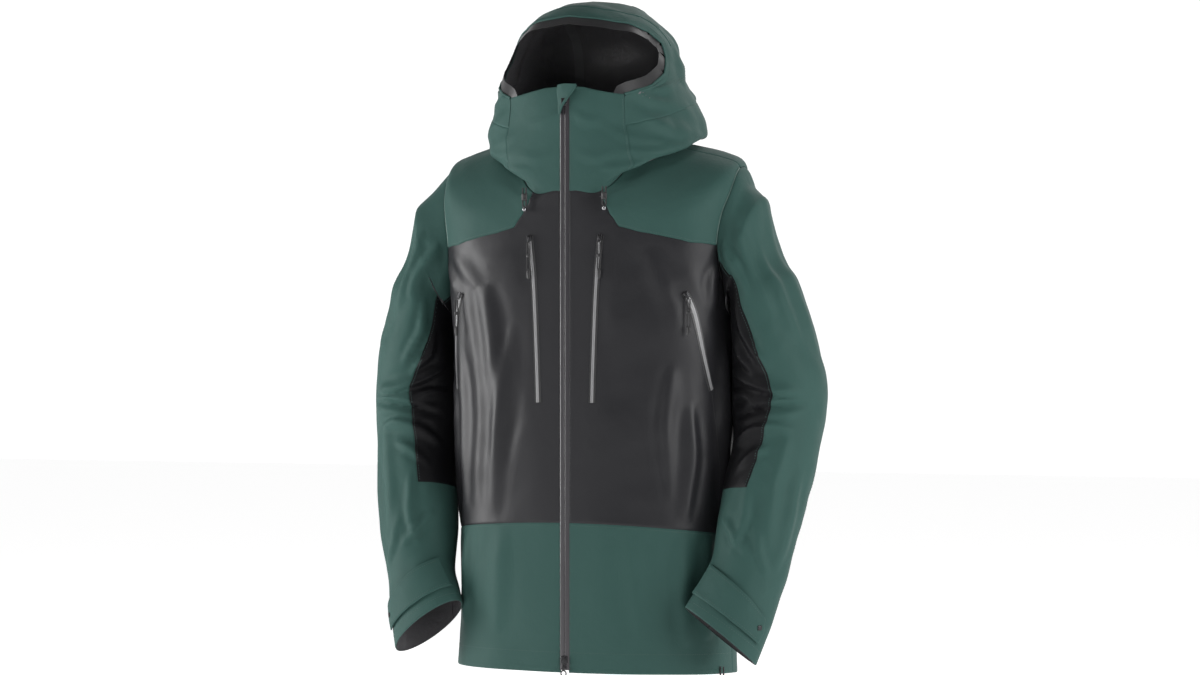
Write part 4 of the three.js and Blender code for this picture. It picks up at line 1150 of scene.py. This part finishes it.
def build_main_zip():
    """Two laminated tapes that meet over the coil, a slider at each end, and a ring pull at the bottom."""
    z = np.linspace(MAIN_ZIP["bottom"], MAIN_ZIP["top"], 60)
    points = np.stack([0 * z, 0 * z + FRONT, z], -1) * MM
    front = np.tile([0.0, -1.0, 0.0], (len(z), 1))
    for name, side in SIDES.items():
        across = np.tile([float(side), 0.0, 0.0], (len(z), 1))
        tape = sweep(f"zip_tape_{name}", points, across, front, ZIP_PROFILE, ZIP)
        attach(tape, "torso")
        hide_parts(f"main_zip_{name}")
        row = lambda t: np.stack([zip_edge(TORSO, NECK * t) * side, NECK * t])
        chin = lambda t: np.stack([zip_edge(HOOD, 4.35 * t) * side, 4.35 * t])
        for k, (surface, path, colour) in enumerate(((torso, row, "black"), (hood, chin, "green"))):
            thread = stitches(f"zip_stitch_{name}_{k}", surface, path, THREAD[colour], 2.2 * side)
            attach(thread, "torso")
    half, tall, neck, far, near = (SLIDER[k] for k in ("half", "tall", "neck", "far", "near"))
    for end in ("bottom", "top"):
        z = SLIDER[f"{end}_z"]
        plates = [
            ((-half, FRONT - far, z - tall / 2), (half, FRONT - near, z + tall / 2)),
            ((-half, FRONT + near + 0.4, z - tall / 2), (half, FRONT + far, z + tall / 2)),
            ((-neck, FRONT - near - 1, z - tall / 2 + 0.4), (neck, FRONT + near + 1, z + tall / 2 - 0.4)),
        ]
        body = blocks(f"slider_{end}", plates, METAL, 0.8)
        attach(body, f"main_slider_{end}")
        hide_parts(f"main_slider_{end}")
    top = SLIDER["bottom_z"] - tall / 2 - 1
    stem = blocks("pull_stem", [((-2.3, FRONT - 6.0, top - 9.2), (2.3, FRONT - 4.2, top))], METAL, 0.7)
    eye = ring("pull_ring", (0, FRONT - 5.1, top - 13), 4.0, 0.95, METAL)
    for piece in (stem, eye):
        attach(piece, "main_pull")
    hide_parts("main_pull")


def pocket_path(kind, side):
    """The pocket's zip from top to bottom, in torso coordinates."""
    top, bottom, bow = (POCKETS[kind][k] for k in ("top", "bottom", "bow"))

    def at(t):
        t = np.asarray(t, float)
        a = top[0] + (bottom[0] - top[0]) * t - bow * np.sin(np.pi * t) * t
        return np.stack([a * side, top[1] + (bottom[1] - top[1]) * t])
    return at


def cord_loop(name, top, drop, spread, diameter):
    """A cord that leaves its eye, hangs down as a narrow loop and comes back beside itself."""
    down = [(-spread, -(drop - spread) * k / 8) for k in range(9)]
    angles = [math.pi * k / 10 for k in range(1, 10)]
    turn = [(-spread * math.cos(x), -(drop - spread) - spread * math.sin(x)) for x in angles]
    up = [(spread, z) for _, z in reversed(down)]
    curve = bpy.data.curves.new(name, "CURVE")
    curve.dimensions = "3D"
    curve.bevel_depth = diameter / 2 * MM
    curve.bevel_resolution = 3
    curve.use_fill_caps = True
    spline = curve.splines.new("POLY")
    route = down + turn + up
    spline.points.add(len(route) - 1)
    for point, (x, z) in zip(spline.points, route):
        point.co = ((top[0] + x) * MM, top[1] * MM, (top[2] + z) * MM, 1)
    spline.use_smooth = True
    curve.materials.append(CORD)
    piece = bpy.data.objects.new(name, curve)
    bpy.context.scene.collection.objects.link(piece)
    return piece


def grip(name, x, y, top, tall, material, widths=(0.75, 1.0, 1.08, 1.0, 0.9, 0.8), wide=2.7, deep=1.7):
    """A moulded grip that swells in the middle, hanging down from top."""
    share = np.linspace(0, 1, 13)
    z = top - tall * share
    points = np.stack([0 * z + x, 0 * z + y, z], -1) * MM
    size = np.interp(share, np.linspace(0, 1, len(widths)), widths)
    size *= np.minimum(1, np.sqrt(np.clip(np.minimum(share, 1 - share) / 0.09, 0, 1)) * 0.45 + 0.55)
    across, front = np.tile([1.0, 0.0, 0.0], (13, 1)), np.tile([0.0, -1.0, 0.0], (13, 1))
    return sweep(name, points, across, front, round_profile(wide, deep, 16, 2.8), material,
                 np.stack([size, size], -1))


def slider_frame(kind, side):
    """The 4 x 4 frame of a pocket's slider, and its eye in millimetres."""
    path = POCKETS[kind]
    (a0, b0), (a1, b1) = path["top"], path["bottom"]
    a, b = (a0 + (a1 - a0) * 0.03) * side, b0 + (b1 - b0) * 0.03
    normal = torso.normal(np.array(a), np.array(b), of=torso.base)
    along = torso.base(np.array(a0 * side), np.array(b0)) - torso.base(np.array(a1 * side), np.array(b1))
    along -= normal * (along @ normal)
    along /= np.linalg.norm(along)
    place = torso.base(np.array(a), np.array(b)) + normal * (TAPE_LIFT + path["gap"]) * MM
    matrix = Matrix.Identity(4)
    for row in range(3):
        for column, axis in enumerate((np.cross(along, normal), along, normal, place)):
            matrix[row][column] = axis[row]
    return matrix, np.array(matrix @ (Vector((0, -6.8, 3.4)) * MM)) / MM


def calm_zips():
    """Flattens the folds beside the pocket zips, which stiffen the cloth."""
    a, b = torso.grid()
    place = torso.base(a, b)
    for kind in POCKETS:
        for side in SIDES.values():
            end = 0.9 if kind == "hand" else 1
            spots = torso.base(*pocket_path(kind, side)(np.linspace(0, end, 50)))
            near = np.full(a.shape, 1e9)
            for spot in spots:
                near = np.minimum(near, np.linalg.norm(place - spot, axis=-1))
            torso.shift *= (0.12 + 0.88 * smooth((near / MM - 6) / 22))[..., None]


def build_pocket(kind, name):
    """A welded welt, a zip with its slider, cord and grip, the bag behind, and a stitched line below."""
    side = SIDES[name]
    path = pocket_path(kind, side)
    points, across, normal = path_on(torso, path, 3.0, 0.4)
    width, teeth = POCKETS[kind]["welt"], POCKETS[kind]["teeth"]
    welt = sweep(f"{kind}_welt_{name}", points, across, normal,
                 [(-width, -0.6), (-width + 0.4, 0.25), (width - 0.4, 0.25), (width, -0.6)], TAPE)
    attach(welt, "torso")
    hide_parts(f"{kind}_zip_{name}")
    for k, half in enumerate((-1, 1)):
        lip = [(0.12, -0.4), (0.12, 0.95), (0.9, 1.2), (teeth, 0.8), (teeth, -0.4)]
        lip = [(x * half, y) for x, y in lip]
        strip = sweep(f"{kind}_lip_{name}_{k}", points, across, normal, lip, POCKET_ZIP)
        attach(strip, "torso")
    matrix, eye = slider_frame(kind, side)
    body = placed(blocks(f"{kind}_zip_body_{name}", [
        ((-3.0, -5, 0), (3.0, 4.6, 1.6)),
        ((-1.1, -4.6, 1.2), (1.1, 2.6, 2.6)),
        ((-1.6, -7.2, 1.8), (1.6, -4.4, 2.7)),
    ], METAL, 0.45), matrix)
    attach(body, f"{kind}_slider_{name}")
    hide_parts(f"{kind}_slider_{name}")
    loop = cord_loop(f"{kind}_cord_{name}", eye, PULL["drop"], PULL["spread"], PULL["cord"])
    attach(loop, f"{kind}_pull_{name}")
    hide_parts(f"{kind}_pull_cord_{name}")
    low = eye[2] - PULL["drop"] - PULL["cord"] / 2 - 0.4
    end = grip(f"{kind}_grip_{name}", eye[0], eye[1], low + 2.4, PULL["grip"] + 2.4, MOULDED)
    widths = (0.85, 1, 1, 0.85)
    cuff = grip(f"{kind}_collar_{name}", eye[0], eye[1], eye[2] - 17, 5, MOULDED, widths, 3.3, 1.5)
    for piece in (end, cuff):
        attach(piece, f"{kind}_pull_{name}")
    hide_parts(f"{kind}_pull_grip_{name}")
    area = oblong(*POCKETS[kind]["bag"])
    bag = panel(f"{kind}_bag_{name}", torso, mirrored(area, side), (False,) * 4, MESH, MESH,
                lift=-2.4 * MM - POCKETS[kind]["depth"] * MM, step=8 * MM, thick=0.8 * MM)
    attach(bag, "torso")
    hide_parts(f"{kind}_pocket_bag_{name}")
    if kind == "hand":
        flare = line((0.36 * side, 2.2), (0.385 * side, 1.9), (0.4 * side, 1.5), (0.4 * side, 1.02))
        thread = stitches(f"pocket_line_{name}", torso, flare, THREAD["black"])
        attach(thread, "torso")


# ---------- Cords and small parts ----------
HOOD_CORD = {"x": 62, "y": -142.6, "z": -62, "drop": 28, "spread": 2.6, "diameter": 2.4}
HEM_CORD = {"at": (0.4, 0.09), "lift": 5, "drop": 16, "spread": 2.4, "diameter": 2.4, "ring": 6, "wire": 1.1}
CUFF_TAB = {"from": 0.12, "to": 0.86, "top": 7.05, "narrow": 7.42, "bottom": 7.72, "lift": 4.4}
GARAGE = [(-13, 78), (-12, 58), (-9, 44), (-5.5, 43), (-1, 55), (7, 66), (14, 75), (21, 85), (20, 87.5),
          (2, 88.5), (-12, 87.5)]
GARAGE_SINK = 7


def build_hood_cord(name):
    top = (HOOD_CORD["x"] * SIDES[name], HOOD_CORD["y"] - LOOP_Y, HOOD_CORD["z"])
    body = f"hood_cord_{name}"
    size = (HOOD_CORD[k] for k in ("drop", "spread", "diameter"))
    loop = cord_loop(f"collar_cord_{name}", top, *size)
    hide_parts(body)
    low = top[2] - HOOD_CORD["drop"] - HOOD_CORD["diameter"] / 2
    end = grip(f"cord_end_{name}", top[0], top[1], low + 0.6, 6, STEEL, (0.8, 1, 1, 0.8), 2.9, 2.9)
    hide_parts(f"hood_cord_end_{name}")
    lock = grip(f"cord_lock_{name}", top[0], top[1], top[2] - 8, 11, MOULDED, (0.8, 1, 0.95, 0.9, 1, 0.8),
                4.4, 2.6)
    for piece in (loop, end, lock):
        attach(piece, body)


def build_hem_cord():
    at = [np.array(v) for v in HEM_CORD["at"]]
    place = torso.base(*at) / MM + torso.normal(*at, of=torso.base) * HEM_CORD["lift"]
    loop = cord_loop("hem_loop", place, HEM_CORD["drop"], HEM_CORD["spread"], HEM_CORD["diameter"])
    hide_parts("hem_cord")
    size = HEM_CORD["ring"]
    low = place[2] - HEM_CORD["drop"] - HEM_CORD["diameter"] / 2 - 0.4 - size - HEM_CORD["wire"]
    circle = ring("hem_toggle", (place[0], place[1], low), size, HEM_CORD["wire"], STEEL)
    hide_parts("hem_ring")
    for piece in (loop, circle):
        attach(piece, "hem_cord")


def build_hanger():
    """A ribbon sewn inside the back neck."""
    turn = np.linspace(0, np.pi, 24)
    points = np.stack([-27 * np.cos(turn), 0 * turn - 1.4, 7 - 18.5 * np.sin(turn) ** 0.6], -1) * MM
    along = np.gradient(points, axis=0)
    front = np.tile([0.0, -1.0, 0.0], (len(turn), 1))
    across = np.cross(along, front)
    across /= np.linalg.norm(across, axis=1, keepdims=True)
    ribbon = sweep("hanger_ribbon", points, across, front, flat_profile(2.2, -0.5, 0.5), CORD)
    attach(ribbon, "torso")
    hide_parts("hanger_loop")


def build_garage():
    """A folded flap of face fabric over the top of the zip. One side sinks into the collar."""
    shape = bmesh.new()
    y0, y1 = FRONT - 6.6, FRONT - 4.4
    face = shape.faces.new([shape.verts.new(Vector((x, y1, z)) * MM) for x, z in GARAGE])
    made = bmesh.ops.extrude_face_region(shape, geom=[face])
    for v in made["geom"]:
        if isinstance(v, bmesh.types.BMVert):
            v.co.y = y0 * MM
    round_edges(shape, 0.9)
    bmesh.ops.recalc_face_normals(shape, faces=shape.faces)
    for v in shape.verts:
        v.co.y += GARAGE_SINK * MM * float(smooth((-v.co.x / MM - 6) / 6))
    flap = from_shape(shape, bpy.data.meshes.new("garage_cloth"), GREEN)
    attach(flap, "torso")
    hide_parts("zip_garage")


def build_cuff_tab(name):
    """A tab that narrows towards its outer end, with a stitched border and a plain snap."""
    surface, side = sleeves[name], SIDES[name]
    first, last, top, narrow, bottom = (CUFF_TAB[k] for k in ("from", "to", "top", "narrow", "bottom"))
    area = patch(line((first, bottom), (last, bottom - 0.1)),
                 line((first + 0.03, narrow), (last - 0.08, top)),
                 line((first, bottom), (first - 0.02, (narrow + bottom) / 2), (first + 0.03, narrow)),
                 line((last, bottom - 0.1), (last - 0.08, top)))
    lift = CUFF_TAB["lift"] * MM
    tab = panel(f"tab_cloth_{name}", surface, mirrored(area, side), ALL_SEWN, GREEN, GREEN, lift=lift,
                step=3 * MM, thick=1.8 * MM)
    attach(tab, f"cuff_tab_{name}")
    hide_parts(f"cuff_tab_{name}")
    rim = lambda t: mirrored(area, side)(0.06 + 0.88 * t, 0.1 + 0 * t)
    over = lambda t: mirrored(area, side)(0.06 + 0.88 * t, 0.9 + 0 * t)
    for k, path in enumerate((rim, over)):
        above = CUFF_TAB["lift"] + 0.15
        thread = stitches(f"tab_stitch_{name}_{k}", surface, path, THREAD["green"], lift=above)
        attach(thread, f"cuff_tab_{name}")
    spot = mirrored(area, side)(np.array(0.1), np.array(0.5))
    centre = surface(*spot) + surface.normal(*spot) * (lift + 0.3 * MM)
    normal = Vector(surface.normal(*spot))
    snap = blocks(f"tab_snap_{name}", [((-3.4, -3.4, -0.3), (3.4, 3.4, 1.0))], METAL, 0.5)
    snap.data.transform(normal.to_track_quat("Z", "Y").to_matrix().to_4x4())
    snap.data.transform(Matrix.Translation(Vector(centre)))
    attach(snap, f"cuff_tab_{name}")


# ---------- Seams ----------
def build_seams():
    """Topstitching and laps beside the seams, and the hood's edge roll, a black band inside the face opening
    as painted shade under the brim, brim lap and inner tapes.
    """
    def thread(name, surface, path, colour, shift, part, side=None):
        follow(stitches(name, surface, path, THREAD[colour], shift), part)
    for name, side in SIDES.items():
        hem = lambda t: np.stack([(0.012 + (SIDE_SEAM - 0.012) * t) * side, HEM_SEAM + 0 * t])
        edge = lambda t: np.stack([(0.012 + (SIDE_SEAM - 0.012) * t) * side, 0.02 + 0 * t])
        lap = lambda t: np.stack([yoke_seam(t)[0] * side, yoke_seam(t)[1]])
        thread(f"hem_seam_stitch_{name}", torso, hem, "green", 3.5 * side, "torso")
        thread(f"hem_edge_stitch_{name}", torso, edge, "green", -24 * side, "torso")
        thread(f"yoke_stitch_{name}", torso, lap, "green", 3.5 * side, "torso")
        arm = lambda t: np.stack([armhole(0.02 + 0.96 * t)[0] * side, armhole(0.02 + 0.96 * t)[1]])
        # The armhole lap is a real strip, coloured lighter green as a painted highlight along its edge.
        welt = seam_strip(f"armhole_lap_{name}", torso, lambda t: arm(t * 0.54), HIGHLIGHT_GREEN, 2.2, 0.9, 0.6 * side)
        follow(welt, "torso")
        surface = sleeves[name]
        for part, (low, high) in (("shoulder", (0.15, JOIN_ROW)), ("arm", (JOIN_ROW, UNDER_END))):
            def front(t):
                row = low + (high - low) * t
                return np.stack([front_seam(name)(row) * side, row])
            thread(f"{part}_stitch_{name}", surface, front, "green", 3.0 * side, part, name)
        cuff = lambda t: np.stack([(BACK_SEAM - 2 + 2 * t) * side, 7.78 + 0 * t])
        thread(f"cuff_stitch_{name}", surface, cuff, "green", 0.0, "arm", name)

    def opening(t, low=4.0):
        """Round the face opening, from the collar on the wearer's right over the brow to the left."""
        t = np.asarray(t, float)
        row = low + (BROW - low) * (1 - np.abs(2 * t - 1))
        return np.stack([hood_edge(row) * np.sign(2 * t - 1), row])
    points, across, normal = path_on(hood, opening, 3.0, -0.3)
    roll = sweep("hood_edge_roll", points, across, normal, round_profile(1.9, 1.5), GREEN)
    follow(roll, "hood")
    # A black band just inside the face opening: painted shade where the brim faces down.
    points, across, normal = path_on(hood, lambda t: opening(t, 3.2), 4.0, -1.3, 9.0)
    shade_band = sweep("hood_facing", points, across, normal, flat_profile(8, 0.2, -0.3), TAPE)
    follow(shade_band, "hood")
    thread("hood_edge_stitch", hood, opening, "green", -11, "hood")
    brim = lambda t: opening(0.27 + 0.46 * np.asarray(t, float))
    follow(seam_strip("brim_lap", hood, brim, GREEN, 6.0, 0.7, -34), "hood")
    thread("brim_stitch", hood, brim, "green", -39, "hood")
    for name, side in SIDES.items():
        def strip(t, low=1.2, high=8.3):
            """The centre panel's seam, up the back of the hood."""
            row = low + (high - low) * np.asarray(t, float)
            half = rings_at(HOOD, row)[..., 5]
            return np.stack([(1 - np.arcsin(np.minimum(68 / half, 0.96)) / np.pi) * side, row])
        follow(seam_strip(f"hood_lap_{name}", hood, strip, GREEN, 6.0, 0.7), "hood")
        thread(f"hood_stitch_{name}", hood, strip, "green", 4.5 * side, "hood")
        points, across, normal = path_on(hood, strip, 4.0, -1.15)
        tape = sweep(f"hood_tape_{name}", points, across, normal, flat_profile(7, 0.1, -0.2), INNER_TAPE)
        follow(tape, "hood")
        collar = lambda t: np.stack([hood_edge(3.9 * t) * side, 3.9 * t])
        follow(stitches(f"chin_stitch_{name}", hood, collar, THREAD["green"], -3 * side), "hood")


# ---------- Stage ----------
FLOOR = {"half": 14.0, "below": 0.35, "glow": 0.72}
CENTRE = Vector((0, -0.07, -0.3))
LAMPS = [
    # name, place, size, power
    ("left_side", (-3.35, -1.25, -0.1), 1.6, 118),
    ("right_side", (3.3, -0.9, 0.3), 1.8, 88),
    ("front", (-1.2, -3.0, 3.5), 1.8, 50),
    ("sheen", (-1.75, -4.0, -0.3), 0.5, 4.0),
    ("back", (0.6, 2.6, 2.0), 1.8, 18),
]
HOOD_LAMP = {"place": (-0.3, -1.5, -0.12), "aim": (0.02, 0.05, 0.165), "power": 16, "cone": 7, "soft": 0.15}
WORLD = {"From_Min": 0.4, "From_Max": 0.85, "To_Min": 0.16, "To_Max": 1.08}  # brighter towards the back
CAMERA = {"lens": 88, "turn": 20, "away": 4.4, "aim": (0.0037, -LOOP_Y * MM, -0.281)}


def staged(name, data, place, aim):
    """A lamp at a place, pointing at another."""
    lamp = bpy.data.objects.new(name, data)
    lamp.location = place
    lamp.rotation_euler = (Vector(aim) - Vector(place)).to_track_quat("-Z", "Y").to_euler()
    bpy.context.scene.collection.objects.link(lamp)


def build_floor():
    """A plain pale floor."""
    size = FLOOR["half"]
    corners = [(-size, -size, 0), (size, -size, 0), (size, size, 0), (-size, size, 0)]
    mesh = bpy.data.meshes.new("floor")
    mesh.from_pydata(corners, [], [(0, 1, 2, 3)])
    floor = bpy.data.objects.new("floor", mesh)
    floor.location.z = CAD_BOX[0][2] - FLOOR["below"]
    white, _, _, shader = new_material("pale_floor")
    shader.inputs["Base Color"].default_value = (0.9, 0.9, 0.9, 1)
    shader.inputs["Roughness"].default_value = 1.0
    shader.inputs["Specular IOR Level"].default_value = 0.0
    shader.inputs["Emission Color"].default_value = (1, 1, 1, 1)
    shader.inputs["Emission Strength"].default_value = FLOOR["glow"]
    mesh.materials.append(white)
    bpy.context.scene.collection.objects.link(floor)


def build_world():
    """A backdrop that is white behind the jacket and dim in front of it."""
    world = bpy.data.worlds.new("studio")
    world.use_nodes = True
    nodes, links = world.node_tree.nodes, world.node_tree.links
    place = nodes.new("ShaderNodeTexCoord")
    axes = nodes.new("ShaderNodeSeparateXYZ")
    links.new(place.outputs["Generated"], axes.inputs["Vector"])
    glow = add_node(nodes, "ShaderNodeMapRange", **WORLD)
    glow.interpolation_type = "SMOOTHSTEP"
    links.new(axes.outputs["Y"], glow.inputs["Value"])
    links.new(glow.outputs["Result"], nodes["Background"].inputs["Strength"])
    nodes["Background"].inputs["Color"].default_value = (1, 1, 1, 1)
    bpy.context.scene.world = world
    bpy.context.scene.view_settings.view_transform = "Standard"


def build_lamps():
    """Soft studio lamps, and a narrow one that reaches into the hood."""
    for name, place, size, power in LAMPS:
        data = bpy.data.lights.new(name, "AREA")
        data.size = size
        data.energy = power
        staged(name, data, place, CENTRE)
    data = bpy.data.lights.new("hood_inside", "SPOT")
    data.energy = HOOD_LAMP["power"]
    data.spot_size = math.radians(HOOD_LAMP["cone"])
    data.spot_blend = 1.0
    data.shadow_soft_size = HOOD_LAMP["soft"]
    staged("hood_inside", data, HOOD_LAMP["place"], HOOD_LAMP["aim"])


def build_camera():
    data = bpy.data.cameras.new("camera")
    data.lens = CAMERA["lens"]
    camera = bpy.data.objects.new("camera", data)
    bpy.context.scene.collection.objects.link(camera)
    turn = math.radians(CAMERA["turn"])
    aim = Vector(CAMERA["aim"])
    away = Vector((math.sin(turn), -math.cos(turn), 0)) * CAMERA["away"]
    camera.location = aim + away
    camera.rotation_euler = (-away).to_track_quat("-Z", "Y").to_euler()
    bpy.context.scene.camera = camera


build_camera()
fold_torso()
lower_neckline()
shape_shoulders()
fold_hood()
for name in SIDES:
    fold_sleeve(name)
settle([(torso, held_torso), (hood, held_hood)] + [(sleeves[name], held_sleeve) for name in SIDES])
calm_zips()
build_torso()
build_hood()
build_main_zip()
build_hem_cord()
build_hanger()
build_garage()
for name in SIDES:
    build_sleeve(name)
    build_hood_cord(name)
    build_cuff_tab(name)
    for kind in POCKETS:
        build_pocket(kind, name)
build_seams()
build_floor()
build_world()
build_lamps()
name_slots()
